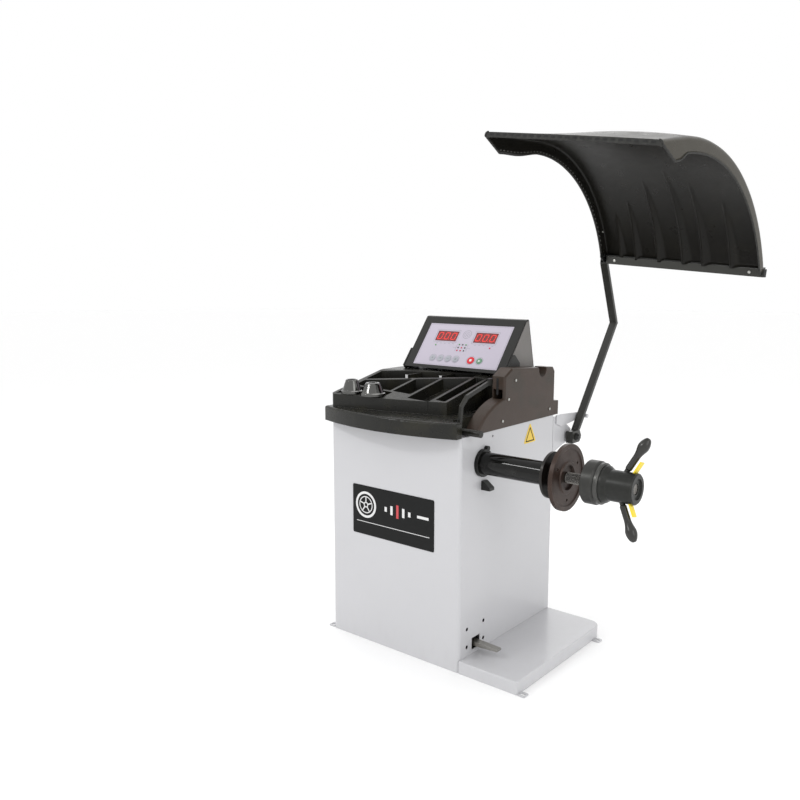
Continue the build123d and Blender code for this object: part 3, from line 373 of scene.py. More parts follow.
belt_rubber = rubbery("belt_rubber")
brass = machined("sensor_brass", (0.60, 0.44, 0.18), 0.3, tuple(MOTOR))
inlet_plastic = moulded("inlet_plastic", (0.02, 0.02, 0.02), 0.42)

CAD_FINISHES = {
    "cabinet_shell": cabinet_paint, "floor_plate": cabinet_paint, "mounting_ears": cabinet_paint,
    "rear_panel": cabinet_paint, "hood_bracket": cabinet_paint, "cover_screws": zinc,
    "nameplate": plate_dark, "side_label": label_yellow, "tray_body": tray_plastic,
    "bin_dividers": tray_plastic, "centring_cones": chrome, "side_cowl": cowl_plastic,
    "display_housing": head_plastic, "display_cheeks": cheek_plastic, "display_brackets": head_plastic,
    "display_fascia": fascia_silver, "display_windows": window_red, "digit_modules": digit_dark,
    "indicator_lamps": lamp_off, "display_board": board_green, "spindle_tube": tube_black,
    "spindle_collar": tube_black, "spindle_bearings": steel, "spindle_carrier": frame_primer,
    "force_sensors": brass, "sensor_rail": frame_primer, "motor_bracket": frame_primer,
    "motor_body": motor_paint, "drive_belt": belt_rubber, "power_board": board_green,
    "hood_pivot_pin": bracket_paint, "hood_stop": cabinet_paint, "tool_hanger": bracket_paint,
    "pedal_bracket": bracket_paint, "mains_inlet": inlet_plastic, "back_disc": disc_dark,
    "main_flange": flange_dark, "spindle_pulley": steel_dull, "motor_shaft": steel_dull,
    "spindle_shaft": steel, "pressure_cup": cup_grey, "pressure_ring": ring_grey, "nut_hub": nut_grey,
    "nut_handles": grip_dark, "release_lever_upper": lever_yellow, "release_lever_lower": lever_yellow,
    "hood_arm": arm_paint, "hood_crossbar": bar_paint, "hood_shell": hood_plastic,
    "brake_pedal": steel_dull, "brake_rod": zinc, "gauge_rod": steel, "gauge_arm": tray_plastic,
    "key_up": key_grey, "key_down": key_grey, "key_enter": key_grey, "key_mode": key_grey,
    "key_stop": key_red, "key_start": key_green, "power_switch": inlet_plastic,
}
for node_name, finish in CAD_FINISHES.items():
    for material_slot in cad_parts[node_name].material_slots:
        material_slot.material = finish.material


# ---------------------------------------------------------------- mesh helpers
def make_piece(name, bm, finish, body, smooth_angle=40):
    """Turn a bmesh into a piece that rides on a body and takes the finish's material."""
    bmesh.ops.recalc_face_normals(bm, faces=bm.faces)
    mesh = bpy.data.meshes.new(name)
    bm.to_mesh(mesh)
    bm.free()
    piece = bpy.data.objects.new(name, mesh)
    scene.collection.objects.link(piece)
    mesh.materials.append(finish.material)
    mesh.shade_smooth()
    mesh.set_sharp_from_angle(angle=math.radians(smooth_angle))
    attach(piece, body)
    return piece


def add_grid(bm, rows, close_rows=False, close_columns=False):
    """Faces over a grid of points, given as rows of equal length."""
    verts = [[bm.verts.new(p) for p in row] for row in rows]
    last_row = len(verts) if close_rows else len(verts) - 1
    last_column = len(verts[0]) if close_columns else len(verts[0]) - 1
    for i in range(last_row):
        upper, lower = verts[i], verts[(i + 1) % len(verts)]
        for j in range(last_column):
            k = (j + 1) % len(upper)
            bm.faces.new((upper[j], upper[k], lower[k], lower[j]))
    return verts


def add_caps(bm, verts):
    """Close both ends of a grid whose rows are rings."""
    bm.faces.new(verts[0])
    bm.faces.new(reversed(verts[-1]))


def add_tube(bm, path, radius, sides=8):
    """A round bar along a path, with its ends closed."""
    rows = []
    for i, point in enumerate(path):
        ahead = path[min(i + 1, len(path) - 1)] - path[max(i - 1, 0)]
        side = ahead.cross(Z).normalized()
        over = side.cross(ahead).normalized()
        ring = []
        for k in range(sides):
            a = math.tau * k / sides
            ring.append(point + side * (radius * math.cos(a)) + over * (radius * math.sin(a)))
        rows.append(ring)
    add_caps(bm, add_grid(bm, rows, close_columns=True))


def add_slab(bm, outline, place, thickness, bevel=0.0):
    """A flat plate: an outline in a plane's own axes, where place(u, v, w) gives a point in space."""
    if bevel:
        centre_u = sum(p[0] for p in outline) / len(outline)
        centre_v = sum(p[1] for p in outline) / len(outline)
        reach = max(math.hypot(u - centre_u, v - centre_v) for u, v in outline)
        shrink = 1 - bevel / reach
        inner = [(centre_u + (u - centre_u) * shrink, centre_v + (v - centre_v) * shrink)
                 for u, v in outline]
        layers = [(outline, 0), (outline, thickness - bevel), (inner, thickness)]
    else:
        layers = [(outline, 0), (outline, thickness)]
    rows = [[place(u, v, w) for u, v in ring] for ring, w in layers]
    add_caps(bm, add_grid(bm, rows, close_columns=True))


def add_lathe(bm, profile, place, sides=32):
    """A turned shape: profile points are (radius, height), and place(u, v, w) puts its axis along w."""
    rows = []
    for radius, height in profile:
        ring = [(radius * math.cos(math.tau * k / sides), radius * math.sin(math.tau * k / sides))
                for k in range(sides)]
        rows.append([place(u, v, height) for u, v in ring])
    add_caps(bm, add_grid(bm, rows, close_columns=True))


def plane_at(origin, across, along, out):
    """A function that turns plane coordinates into a point in space."""
    return lambda u, v, w=0.0: origin + across * u + along * v + out * w


def circle(radius, centre=(0.0, 0.0), steps=32, start=0.0, sweep=math.tau):
    """The outline of a circle, or of an arc with both its ends."""
    closed = abs(sweep - math.tau) < 1e-6
    count = steps if closed else steps + 1
    return [(centre[0] + radius * math.cos(start + sweep * k / steps),
             centre[1] + radius * math.sin(start + sweep * k / steps)) for k in range(count)]


def add_ring(bm, radius, width, place, thickness, centre=(0.0, 0.0), steps=40):
    """A flat ring lying in a plane."""
    rows = []
    for r, w in ((radius - width / 2, 0), (radius - width / 2, thickness),
                 (radius + width / 2, thickness), (radius + width / 2, 0)):
        rows.append([place(u, v, w) for u, v in circle(r, centre, steps)])
    add_grid(bm, rows, close_rows=True, close_columns=True)


def bar(u0, v0, u1, v1, width):
    """The outline of a straight bar between two points of a plane."""
    length = math.hypot(u1 - u0, v1 - v0)
    nu, nv = -(v1 - v0) / length * width / 2, (u1 - u0) / length * width / 2
    return [(u0 + nu, v0 + nv), (u0 - nu, v0 - nv), (u1 - nu, v1 - nv), (u1 + nu, v1 + nv)]


def add_frame(bm, corners, width, place, thickness):
    """Bars along the sides of a polygon."""
    for (u0, v0), (u1, v1) in zip(corners, corners[1:] + corners[:1]):
        add_slab(bm, bar(u0, v0, u1, v1, width), place, thickness)


def add_spokes(bm, centre, inner, outer, turn, width, place, thickness):
    """Five bars of a wheel diagram, from the inner to the outer radius."""
    for k in range(5):
        a = math.tau * k / 5 + turn
        c, s = math.cos(a), math.sin(a)
        outline = bar(centre[0] + inner * c, centre[1] + inner * s,
                      centre[0] + outer * c, centre[1] + outer * s, width)
        add_slab(bm, outline, place, thickness)


# ---------------------------------------------------------------- wheel hood
# The same sizes as the CAD hood: sections at the arm, halfway and outboard, each with its arc's centre
# (y, z), radius and front angle, and how far each lip's free edge drops at the front.
HOOD_DROOP = math.radians(5)
HOOD_LENGTH, HOOD_T, HOOD_LIP, HOOD_HEM = 0.640, 0.0036, 0.045, 0.014
HOOD_FOOT_Z, HOOD_FRONT_Y, HOOD_RAKE, HOOD_TAPER = 1.472, -0.285, 0.090, 0.05
HOOD_SECTIONS = ((0.058, 1.185, 0.670, 92), (0.013, 1.166, 0.7095, 100), (-0.008, 1.099, 0.749, 99.3))
HOOD_LIP_DROPS = {0: 0.057, 2: 0.050}
HOOD_X, HOOD_TOP_Z = 0.330, 1.453  # where the crossbar's middle line starts
HOOD_WIDTH = HOOD_LENGTH * (1 - HOOD_TAPER)
HOOD_CROWN_INSET = 18 * MM  # how far the skin's middle keeps below the smooth curve, times v * (1 - v)
LIP_DIP = 6 * MM  # how far a lip's raked edge bows below a straight line
BAR = Vector((math.cos(HOOD_DROOP), 0, -math.sin(HOOD_DROOP)))
BAR_UP = Vector((math.sin(HOOD_DROOP), 0, math.cos(HOOD_DROOP)))


def hood_profile(side, t, depth):
    """(y, height) in one section of the hood: t runs 0..1 up the arc and 1..2 along the straight front."""
    centre_y, centre_z, radius, front_angle = HOOD_SECTIONS[side]
    foot = math.asin((HOOD_FOOT_Z - centre_z) / radius)
    front = math.radians(front_angle)
    angle = foot + (front - foot) * min(t, 1)
    y = centre_y + (radius - depth) * math.cos(angle)
    z = centre_z + (radius - depth) * math.sin(angle)
    if t > 1:
        run = (y - HOOD_FRONT_Y) * (t - 1)
        y -= run
        z -= run * math.tan(front - math.pi / 2)
    return y, z


def hood_point(side, y, z, inset=0.0):
    """A point of one section, moved along the bar by inset. Section 0 is at the arm and 2 outboard."""
    taper = HOOD_TAPER * side / 2
    along = max(HOOD_T, HOOD_WIDTH * side / 2) + inset
    origin = Vector((HOOD_X, 0, HOOD_TOP_Z)) + BAR * along
    return origin + (Y + BAR * taper) * y + BAR_UP * (z - HOOD_TOP_Z)


def hood_skin(v, t, depth):
    """A point of the skin v of the way across, on the smooth curve through the three sections."""
    a, b, c = (hood_point(side, *hood_profile(side, t, depth)) for side in (0, 1, 2))
    return a * (2 * (v - 0.5) * (v - 1)) + b * (4 * v * (1 - v)) + c * (2 * v * (v - 0.5))


def hood_lip_edge(side, t):
    """(y, height) of a lip's free edge, which drops to a raked point at the front."""
    y, z = hood_profile(side, min(t, 1), HOOD_LIP)
    if t > 1:
        tip_y, tip_z = hood_profile(side, 2, 0)
        end_y, end_z = tip_y + HOOD_RAKE, tip_z - HOOD_LIP_DROPS[side]
        y, z = y + (end_y - y) * (t - 1), z + (end_z - z) * (t - 1)
        z -= LIP_DIP * math.sin(math.pi * (t - 1)) ** 2
    return y, z


# Pressed flutes: how far each stands from the arm, how far up the arc it reaches, and its width.
FLUTES = ((0.075, 0.24, 0.010), (0.143, 0.31, 0.011), (0.239, 0.42, 0.012), (0.341, 0.48, 0.013),
          (0.419, 0.40, 0.012), (0.525, 0.31, 0.012))
FLUTE_DEPTH = 0.019


def flute_depth(u, t):
    """How far the skin is pressed inwards at u metres across the hood and t up its arc."""
    total = 0.0
    for centre, reach, width in FLUTES:
        if t >= reach:
            continue
        rise = (1 - t / reach) ** 0.8
        spread = width * (0.3 + 0.7 * rise) * (0.5 if u < centre else 1.3)
        total += FLUTE_DEPTH * rise * math.exp(-((u - centre) / spread) ** 2)
    return total


HOOD_CORNER = 12 * MM
WALL_STEPS = FILLET_STEPS = 4  # grid columns down each lip and round each corner into the skin


def hood_wall(side, t, w):
    """A point of a lip: w is 0 at the corner and 1 at the free edge."""
    (ey, ez), (sy, sz) = hood_lip_edge(side, t), hood_profile(side, t, HOOD_CORNER)
    return hood_point(side, sy + (ey - sy) * w, sz + (ez - sz) * w)


def hood_fillet(side, t, phi):
    """A point of the rounded corner between a lip and the skin."""
    depth, inset = HOOD_CORNER * (1 - math.sin(phi)), HOOD_CORNER * (1 - math.cos(phi))
    return hood_point(side, *hood_profile(side, t, depth), inset if side == 0 else -inset)


def hood_rows(columns=190, rows=110):
    """Grid of the hood's outer skin, from one lip's free edge over the top to the other's."""
    grid = []
    left, right = HOOD_CORNER / HOOD_WIDTH, 1 - HOOD_CORNER / HOOD_WIDTH
    down = [(k + 1) / WALL_STEPS for k in range(WALL_STEPS)]
    turns = [math.pi / 2 * k / FILLET_STEPS for k in range(FILLET_STEPS)]
    for i in range(rows + 1):
        t = 2 * i / rows
        row = [hood_wall(0, t, w) for w in reversed(down)]
        row += [hood_fillet(0, t, phi) for phi in turns]
        for j in range(columns + 1):
            v = left + (right - left) * j / columns
            press = flute_depth(v * HOOD_LENGTH, t) if t < 1 else 0.0
            row.append(hood_skin(v, t, press + HOOD_CROWN_INSET * v * (1 - v)))
        row += [hood_fillet(2, t, phi) for phi in reversed(turns)]
        row += [hood_wall(2, t, w) for w in down]
        grid.append(row)
    return grid


def build_hood():
    """The skin with its lips, hems at the front and the foot, trim on the free edges, and corner plates."""
    grid = hood_rows()
    bm = bmesh.new()
    add_grid(bm, grid)
    hood = make_piece("hood_moulding", bm, hood_plastic, "hood", 60)
    shell = hood.modifiers.new("thickness", "SOLIDIFY")
    shell.thickness, shell.offset = HOOD_T, -1
    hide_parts("hood_shell")

    bm = bmesh.new()
    front = grid[-1][6:-6]
    section = ((0, 0), (0, -HOOD_HEM), (HOOD_T, -HOOD_HEM), (HOOD_T, 0))
    rows = [[p + Y * y + Z * z for y, z in section] for p in front]
    add_caps(bm, add_grid(bm, rows, close_columns=True))
    low = [p + Y * (HOOD_T / 2) - Z * HOOD_HEM for p in front]
    add_tube(bm, low[::4] + [low[-1]], 2.6 * MM)
    make_piece("hood_front_hem", bm, hood_trim, "hood", 60)

    bm = bmesh.new()
    for line in ([row[0] for row in grid], grid[-1][:9], grid[-1][-9:], [row[-1] for row in grid]):
        add_tube(bm, line, 3.0 * MM)
    make_piece("hood_edge_trim", bm, hood_trim, "hood", 60)

    over_bar = plane_at(Vector((HOOD_X, 0, HOOD_TOP_Z + 15.3 * MM)), BAR, Y, BAR_UP)
    inner, outer = HOOD_T + 2 * MM, HOOD_WIDTH + 0.64 * HOOD_TAPER - 4 * MM
    outline = [(inner, 0.6435), (outer, 0.6385), (outer, 0.6405), (inner, 0.6615)]
    bm = bmesh.new()
    add_slab(bm, outline, over_bar, 5.2 * MM)
    make_piece("hood_foot_hem", bm, hood_trim, "hood")

    bm = bmesh.new()
    corners = [(0.598, 1.474), (0.664, 1.474), (0.664, 1.442), (0.640, 1.442), (0.600, 1.462)]
    for side, sense in ((0, 1), (2, -1)):
        rows = [[hood_point(side, y, z, sense * inset) for y, z in corners] for inset in (4 * MM, 7 * MM)]
        add_caps(bm, add_grid(bm, rows, close_columns=True))
    make_piece("hood_corner_plates", bm, bracket_paint, "hood")
    return grid


def along_line(points, pitch):
    """Points and directions every so far along a polyline."""
    found, carry = [], pitch / 2
    for a, b in zip(points, points[1:]):
        length = (b - a).length
        while carry <= length:
            found.append((a.lerp(b, carry / length), (b - a).normalized()))
            carry += pitch
        carry -= length
    return found


def add_pill(bm, centre, along, out, length, width, height):
    """A small rounded bar lying on a surface."""
    side = along.cross(out).normalized()
    place = plane_at(centre, along, side, out)
    outline = circle(width / 2, (length / 2 - width / 2, 0), 6, -math.pi / 2, math.pi)
    outline += circle(width / 2, (-length / 2 + width / 2, 0), 6, math.pi / 2, math.pi)
    add_slab(bm, outline, place, height)


HEM_SLOT_PITCH, LIP_STUD_PITCH = 24.5 * MM, 21 * MM


def build_hood_notches(grid):
    """Slots stamped in the front hem and down the outboard rake, drawn as near-black pills on the surface:
    painted shade for the inside of each slot. Studs along the inboard lip, coloured lighter than the trim: a
    painted highlight.
    """
    bm = bmesh.new()
    middle = [p - Z * (HOOD_HEM / 2) for p in grid[-1][8:-8]]
    for centre, along in along_line(middle, HEM_SLOT_PITCH):
        add_pill(bm, centre, along, -Y, 15 * MM, 6 * MM, 0.7 * MM)
    rake = [p + Y * 7 * MM for p in grid[-1][-5:]]
    for centre, along in along_line(rake, HEM_SLOT_PITCH):
        add_pill(bm, centre, along, X, 14 * MM, 5.5 * MM, 0.7 * MM)
    # Painted shade: dark pills stand in for the depth of the slots.
    make_piece("hood_hem_slot_shade", bm, notch_dark, "hood")
    bm = bmesh.new()
    inboard = [row[0].lerp(row[1], 0.75) for row in grid[4:]]
    for centre, along in along_line(inboard, LIP_STUD_PITCH):
        add_pill(bm, centre + X * HOOD_T, along, X, 9 * MM, 3 * MM, 1.2 * MM)
    # The studs' lighter colour is a painted highlight along the inboard lip.
    make_piece("hood_lip_studs", bm, trim_glint, "hood")


hood_grid = build_hood()
build_hood_notches(hood_grid)


def add_screw_head(bm, place, radius, height):
    """A low pan head."""
    profile = [(radius, 0), (radius, height * 0.35), (radius * 0.85, height * 0.8), (radius * 0.45, height)]
    add_lathe(bm, profile, place, 24)


def build_hood_fasteners(grid):
    """Two bolts in the crossbar, one at the front of the inboard lip, and one at the foot of each lip."""
    bm = bmesh.new()
    radius, height = 6 * MM, 3 * MM
    for along in (0.055, 0.590):
        centre = Vector((HOOD_X, 0.637, HOOD_TOP_Z)) + BAR * along
        add_screw_head(bm, plane_at(centre, BAR, BAR_UP, -Y), radius, height)
    for row, column, outward in ((-3, 4, X), (8, -6, -X), (8, 5, X)):
        centre = grid[row][column] + outward * HOOD_T
        add_screw_head(bm, plane_at(centre, Y, Z, outward), radius, height)
    make_piece("hood_bolts", bm, zinc, "hood")


build_hood_fasteners(hood_grid)


def build_crossbar_cap():
    """Plastic plug in the crossbar's open end."""
    centre = Vector((HOOD_X, 0.652, HOOD_TOP_Z)) + BAR * (HOOD_LENGTH - 1 * MM)
    half = 14.8 * MM
    outline = [(-half, -half), (half, -half), (half, half), (-half, half)]
    bm = bmesh.new()
    add_slab(bm, outline, plane_at(centre, Y, BAR_UP, BAR), 3.5 * MM, 1.5 * MM)
    make_piece("crossbar_cap", bm, notch_dark, "hood")


build_crossbar_cap()


# ---------------------------------------------------------------- spindle thread
def build_thread(pitch=0.004, depth=0.0016, sides=48, steps=6):
    """The clamping shaft with its trapezoid thread cut for real, in place of the plain one."""
    lo, hi = spindle_lo, spindle_hi
    flange_lo, flange_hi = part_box("main_flange")
    plain_r, crest = 17.5 * MM, 18 * MM
    collar_r = (hi.z - lo.z) / 2
    collar_x0, collar_x1 = flange_lo.x - 26 * MM, flange_lo.x
    thread_x0, thread_x1 = flange_hi.x - 6 * MM, hi.x - 3 * MM
    bm = bmesh.new()
    rows = []

    def ring(x, radius):
        """A plain ring of the shaft."""
        rows.append([Vector((x, SPINDLE.y + radius * math.cos(math.tau * k / sides),
                             SPINDLE.z + radius * math.sin(math.tau * k / sides))) for k in range(sides)])

    for x, r in ((lo.x, 1 * MM), (lo.x, plain_r), (collar_x0, plain_r), (collar_x0, collar_r),
                 (collar_x1, collar_r), (collar_x1, crest), (thread_x0, crest)):
        ring(x, r)
    count = int((thread_x1 - thread_x0) / pitch * steps)
    for i in range(1, count + 1):
        x = thread_x0 + (thread_x1 - thread_x0) * i / count
        row = []
        for k in range(sides):
            phase = ((x - thread_x0) / pitch + k / sides) % 1
            cut = min(1, max(0, 2.2 - abs(phase - 0.5) * 8))  # a flat-bottomed groove with sloping sides
            fade = min(1, i / 8, (count - i) / 8)  # the thread runs out at both ends
            radius = crest - depth * cut * fade
            a = math.tau * k / sides
            row.append(Vector((x, SPINDLE.y + radius * math.cos(a), SPINDLE.z + radius * math.sin(a))))
        rows.append(row)
    ring(hi.x - 2 * MM, crest)
    ring(hi.x, crest - 2 * MM)
    ring(hi.x, 4 * MM)
    ring(hi.x - 4 * MM, 1 * MM)
    verts = add_grid(bm, rows, close_columns=True)
    bm.faces.new(verts[0])
    bm.faces.new(verts[-1])
    shaft = make_piece("threaded_shaft", bm, thread_steel, "spindle", 25)
    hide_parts("spindle_shaft")


build_thread()

# ---------------------------------------------------------------- display head
HEAD_TILT = math.radians(38)
HEAD_UP = Vector((0, math.sin(HEAD_TILT), math.cos(HEAD_TILT)))
HEAD_OUT = Vector((0, -math.cos(HEAD_TILT), math.sin(HEAD_TILT)))
fascia_lo, fascia_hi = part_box("display_fascia")
FASCIA_T = 1.5 * MM
FASCIA_W, FASCIA_H = fascia_hi.x - fascia_lo.x, 0.199
PRINT_T = 0.15 * MM
fascia_origin = Vector(((fascia_lo.x + fascia_hi.x) / 2, fascia_lo.y,
                        fascia_lo.z + FASCIA_T * math.sin(HEAD_TILT)))
on_fascia = plane_at(fascia_origin, X, HEAD_UP, HEAD_OUT)
WINDOW_U, WINDOW_V, WINDOW_W, WINDOW_H = 0.093, 0.140, 0.103, 0.048
KEY_V = 0.034
KEY_U = {"key_up": -0.116, "key_down": -0.078, "key_enter": -0.041, "key_mode": -0.004,
         "key_stop": 0.068, "key_start": 0.108}
LAMPS = [(u, v) for v in (0.103, 0.089, 0.075) for u in (-0.016, 0, 0.016)]
LAMPS += [(-0.130, 0.095), (0.130, 0.095)]
SEGMENTS = {  # ends of each bar of a digit, in half widths and half heights
    "top": (-1, 1, 1, 1), "middle": (-1, 0, 1, 0), "bottom": (-1, -1, 1, -1),
    "upper_left": (-1, 1, -1, 0), "upper_right": (1, 1, 1, 0),
    "lower_left": (-1, 0, -1, -1), "lower_right": (1, 0, 1, -1)}


def build_digits(half_w=0.0095, half_h=0.0150, lean=0.12, pitch=0.033, gap=0.13, proud=0.45 * MM):
    """Seven-segment noughts: lit bars just proud of the filter, as their glow reads through it."""
    bm = bmesh.new()
    for centre in (-WINDOW_U, WINDOW_U):
        for step in (-1, 0, 1):
            base = centre + step * pitch
            for name, (a, b, c, d) in SEGMENTS.items():
                if name == "middle":  # dark in a nought
                    continue
                u0, v0, u1, v1 = a * half_w, b * half_h, c * half_w, d * half_h
                du, dv = (u1 - u0) * gap / 2, (v1 - v0) * gap / 2
                outline = bar(u0 + du, v0 + dv, u1 - du, v1 - dv, 4.6 * MM)
                outline = [(base + u + v * lean, WINDOW_V + v) for u, v in outline]
                add_slab(bm, outline, on_fascia, proud)
            point = (base + half_w + 4.6 * MM, WINDOW_V - half_h)
            add_slab(bm, circle(1.9 * MM, point, 12), on_fascia, proud)
    make_piece("display_segments", bm, segment_lit, "root")


def build_fascia_print():
    """Printed lines of the panel: frames round the displays, rings round the keys and a wheel diagram."""
    bm = bmesh.new()
    for centre in (-WINDOW_U, WINDOW_U):
        w, h = WINDOW_W / 2 + 5 * MM, WINDOW_H / 2 + 5 * MM
        corners = [(centre + u, WINDOW_V + v) for u, v in ((-w, -h), (w, -h), (w, h), (-w, h))]
        add_frame(bm, corners, 1.2 * MM, on_fascia, PRINT_T)
        v = WINDOW_V - h - 6 * MM
        for k in range(5):
            u = centre - 0.04 + 0.02 * k
            add_slab(bm, bar(u, v, u + 9 * MM, v, 1.6 * MM), on_fascia, PRINT_T)
    for name, u in KEY_U.items():
        radius = 19.5 * MM if name == "key_stop" else 16.5 * MM
        add_ring(bm, radius, 1.2 * MM, on_fascia, PRINT_T, (u, KEY_V))
    wheel = (0, 0.152)
    for radius, width in ((19 * MM, 1.6 * MM), (12.5 * MM, 1.0 * MM), (4 * MM, 1.2 * MM)):
        add_ring(bm, radius, width, on_fascia, PRINT_T, wheel)
    add_spokes(bm, wheel, 4.6 * MM, 12 * MM, 0.3, 1.3 * MM, on_fascia, PRINT_T)
    for side in (-1, 1):
        add_slab(bm, bar(side * 0.026, 0.104, side * 0.026, 0.072, 1.0 * MM), on_fascia, PRINT_T)
        add_slab(bm, bar(side * 0.026, 0.088, side * 0.042, 0.088, 1.0 * MM), on_fascia, PRINT_T)
    w, h, middle = FASCIA_W / 2 - 5 * MM, FASCIA_H / 2 - 5 * MM, FASCIA_H / 2
    corners = [(-w, middle - h), (w, middle - h), (w, middle + h), (-w, middle + h)]
    add_frame(bm, corners, 0.8 * MM, on_fascia, PRINT_T)
    make_piece("fascia_print", bm, print_grey, "root")


def build_lamps():
    """Lit lenses over the indicator lamps."""
    groups = {"lamps_green": (lamp_green, (0, 2, 9)), "lamps_red": (lamp_red, (4, 6, 7, 10)),
              "lamps_dark": (lamp_off, (1, 3, 5, 8))}
    for name, (finish, places) in groups.items():
        bm = bmesh.new()
        for k in places:
            centre = on_fascia(*LAMPS[k], 0.9 * MM)
            profile = [(3.1 * MM, 0), (3.0 * MM, 0.7 * MM), (2.2 * MM, 1.5 * MM), (0.8 * MM, 1.9 * MM)]
            add_lathe(bm, profile, plane_at(centre, X, HEAD_UP, HEAD_OUT), 16)
        make_piece(name, bm, finish, "root")


def build_key_marks():
    """A raised mark on each key: two arrows, a bar, two squares and a triangle."""
    marks = {
        "key_up": [(-5, -3), (5, -3), (0, 5)],
        "key_down": [(-5, 3), (0, -5), (5, 3)],
        "key_enter": [(-5, -1.2), (5, -1.2), (5, 1.2), (-5, 1.2)],
        "key_mode": [(-4, -4), (4, -4), (4, 4), (-4, 4)],
        "key_stop": [(-5, -5), (5, -5), (5, 5), (-5, 5)],
        "key_start": [(-4, -5), (6, 0), (-4, 5)],
    }
    on_key = plane_at(on_fascia(0, 0, 1.6 * MM), X, HEAD_UP, HEAD_OUT)
    for name, shape in marks.items():
        bm = bmesh.new()
        add_slab(bm, [(KEY_U[name] + u * MM, KEY_V + v * MM) for u, v in shape], on_key, 0.3 * MM)
        finish = print_light if name in ("key_stop", "key_start") else print_grey
        make_piece(name + "_mark", bm, finish, name)


build_digits()
build_fascia_print()
build_lamps()
build_key_marks()


# ---------------------------------------------------------------- front plate and side label
def build_plate_mark():
    """A generic wheel diagram, a rule and bars on the front plate."""
    lo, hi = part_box("nameplate")
    centre = Vector(((lo.x + hi.x) / 2, lo.y, (lo.z + hi.z) / 2))
    place = plane_at(centre, X, Z, -Y)
    t = 0.25 * MM
    wheel = (-0.128, 0.022)
    light = bmesh.new()
    for radius, width, steps in ((0.046, 0.009, 64), (0.031, 0.0035, 56), (0.009, 0.004, 32)):
        add_ring(light, radius, width, place, t, wheel, steps)
    add_spokes(light, wheel, 0.011, 0.030, math.pi / 2, 0.0045, place, t)
    for k, height in enumerate((0.018, 0.034, 0.050, 0.034, 0.018)):
        u = -0.03 + 0.028 * k
        if k != 2:  # the middle bar is red, below
            add_slab(light, bar(u, 0.022 - height / 2, u, 0.022 + height / 2, 0.011), place, t)
    add_slab(light, bar(0.118, 0.022, 0.170, 0.022, 0.010), place, t)
    add_slab(light, bar(-0.174, -0.045, 0.174, -0.045, 0.0022), place, t)
    make_piece("plate_mark", light, print_light, "root")
    red = bmesh.new()
    add_slab(red, bar(0.026, -0.003, 0.026, 0.047, 0.011), place, t)
    make_piece("plate_mark_red", red, print_red, "root")


def build_label_border():
    """Dark border inside the yellow triangle."""
    lo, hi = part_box("side_label")
    centre = Vector((hi.x, (lo.y + hi.y) / 2, (lo.z + hi.z) / 2))
    place = plane_at(centre, Y, Z, X)
    half, top, bottom = (hi.y - lo.y) / 2, (hi.z - lo.z) / 2, -(hi.z - lo.z) / 2
    corners = [(-half + 0.012, bottom + 0.007), (half - 0.012, bottom + 0.007), (0, top - 0.014)]
    bm = bmesh.new()
    add_frame(bm, corners, 4.2 * MM, place, 0.2 * MM)
    for corner in corners:
        add_slab(bm, circle(2.1 * MM, corner, 12), place, 0.2 * MM)
    make_piece("label_border", bm, plate_dark, "root")


build_plate_mark()
build_label_border()


# ---------------------------------------------------------------- small fittings
def build_cowl_slot():
    """Near-black pill on the cowl's upright front wall: painted shade standing in for the inside of a slot.
    """
    lo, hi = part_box("side_cowl")
    wall_y, low, high = -0.049, 0.962, 1.024
    centre = Vector(((lo.x + hi.x) / 2 - 5 * MM, wall_y, (low + high) / 2))
    bm = bmesh.new()
    add_pill(bm, centre, Z, -Y, high - low, 9 * MM, 0.6 * MM)
    # Painted shade: the pill's darkness stands in for the slot's depth.
    make_piece("cowl_slot_shade", bm, notch_dark, "root")


def build_inlet_pins():
    """Three flat pins in the mains inlet."""
    back_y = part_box("mains_inlet")[1].y
    half_u, half_v = 1 * MM, 2.6 * MM
    outline = [(-half_u, -half_v), (half_u, -half_v), (half_u, half_v), (-half_u, half_v)]
    bm = bmesh.new()
    for u, v in ((-0.0055, -0.004), (0.0055, -0.004), (0, 0.005)):
        centre = Vector((-0.2 + u, back_y - 16 * MM, 0.2 + v))
        add_slab(bm, outline, plane_at(centre, X, Z, Y), 12 * MM, 0.4 * MM)
    make_piece("inlet_pins", bm, steel, "root")


build_cowl_slot()
build_inlet_pins()


def build_divider_edges():
    """Pale strips on the front edges of the two bin dividers: a painted highlight, for light caught on those
    edges.
    """
    lo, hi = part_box("bin_dividers")
    points = [v.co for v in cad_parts["bin_dividers"].data.vertices]
    bm = bmesh.new()
    for x0, x1 in ((lo.x, lo.x + 12 * MM), (hi.x - 12 * MM, hi.x)):
        front = min(p.y for p in points if x0 - MM < p.x < x1 + MM)
        outline = [(x0, lo.z + 2 * MM), (x1, lo.z + 2 * MM), (x1, hi.z), (x0, hi.z)]
        add_slab(bm, outline, plane_at(Vector((0, front, 0)), X, Z, -Y), 1.2 * MM, 0.5 * MM)
    # Painted highlight: pale strips on the dividers' front edges.
    make_piece("divider_edge_highlights", bm, divider_grey, "root")


build_divider_edges()


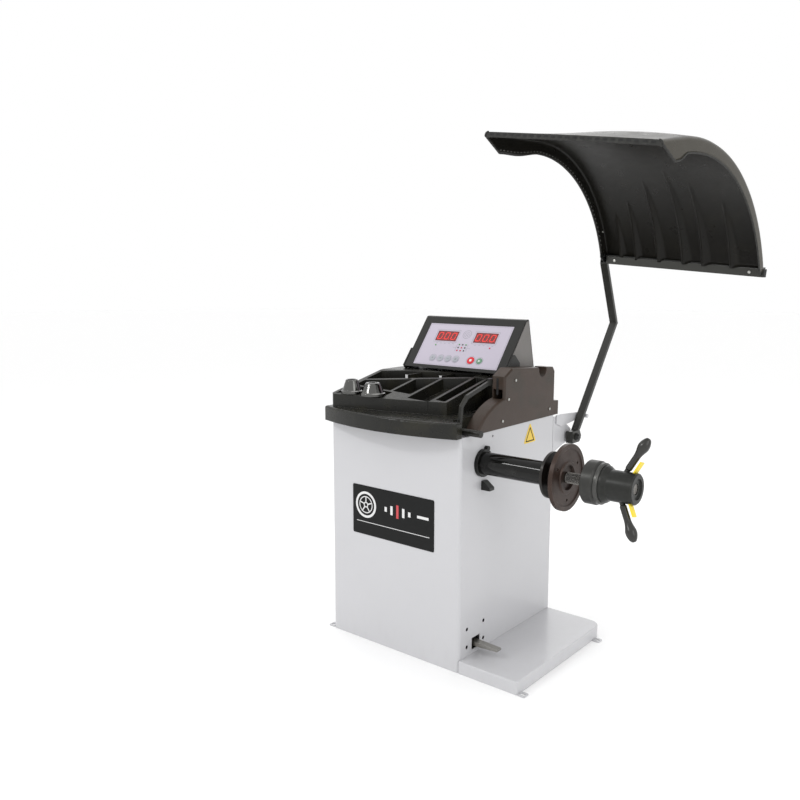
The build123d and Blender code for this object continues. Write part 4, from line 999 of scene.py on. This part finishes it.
# ---------------------------------------------------------------- stage, light and camera
def build_stage():
    """A plain pale floor, wide enough to reach the horizon from any side."""
    floor = Finish("studio_floor", (0.92, 0.92, 0.92), 0.6, Emission_Color=(1, 1, 1, 1),
                   Emission_Strength=0.07)
    floor.tint(floor.noise(2.0, 4), (0.91, 0.91, 0.91), 0.8)
    floor.rough(floor.noise(6, 3), 0.05)
    bm = bmesh.new()
    bmesh.ops.create_circle(bm, cap_ends=True, segments=96, radius=30)
    mesh = bpy.data.meshes.new("floor")
    bm.to_mesh(mesh)
    bm.free()
    mesh.materials.append(floor.material)
    ground = bpy.data.objects.new("floor", mesh)
    ground.location.z = -0.5 * MM
    scene.collection.objects.link(ground)


def add_area_light(name, location, target, size, power):
    """A rectangular lamp that faces the target."""
    data = bpy.data.lights.new(name, "AREA")
    data.shape, data.size, data.size_y = "RECTANGLE", size[0], size[1]
    data.energy = power
    lamp = bpy.data.objects.new(name, data)
    lamp.location = location
    lamp.rotation_euler = (Vector(target) - Vector(location)).to_track_quat("-Z", "Y").to_euler()
    scene.collection.objects.link(lamp)


def build_light():
    """An even white surround and four soft lamps."""
    world = bpy.data.worlds.new("studio")
    world.use_nodes = True
    background = world.node_tree.nodes["Background"]
    background.inputs["Color"].default_value = (1, 1, 1, 1)
    background.inputs["Strength"].default_value = 1.0
    scene.world = world
    middle = (0.2, 0, 0.9)
    add_area_light("key", (-1.4, -3.0, 3.2), middle, (1.5, 0.30), 34)
    add_area_light("right", (3.6, -1.2, 2.2), middle, (1.6, 2.4), 22)
    add_area_light("top", (0.3, 0.6, 4.2), middle, (2.6, 2.6), 30)
    add_area_light("back", (-1.5, 3.4, 2.4), middle, (2.0, 2.0), 12)
    scene.view_settings.view_transform = "Standard"


def build_camera():
    """A camera at standing eye level, to the machine's front right."""
    data = bpy.data.cameras.new("camera")
    data.sensor_width, data.lens = 36, 37.2
    camera = bpy.data.objects.new("camera", data)
    camera.location = (1.8992, -2.5486, 1.3987)
    camera.rotation_euler = (math.radians(90 - 8.74), 0, math.radians(39.78))
    scene.collection.objects.link(camera)
    scene.camera = camera


build_stage()
build_light()
build_camera()
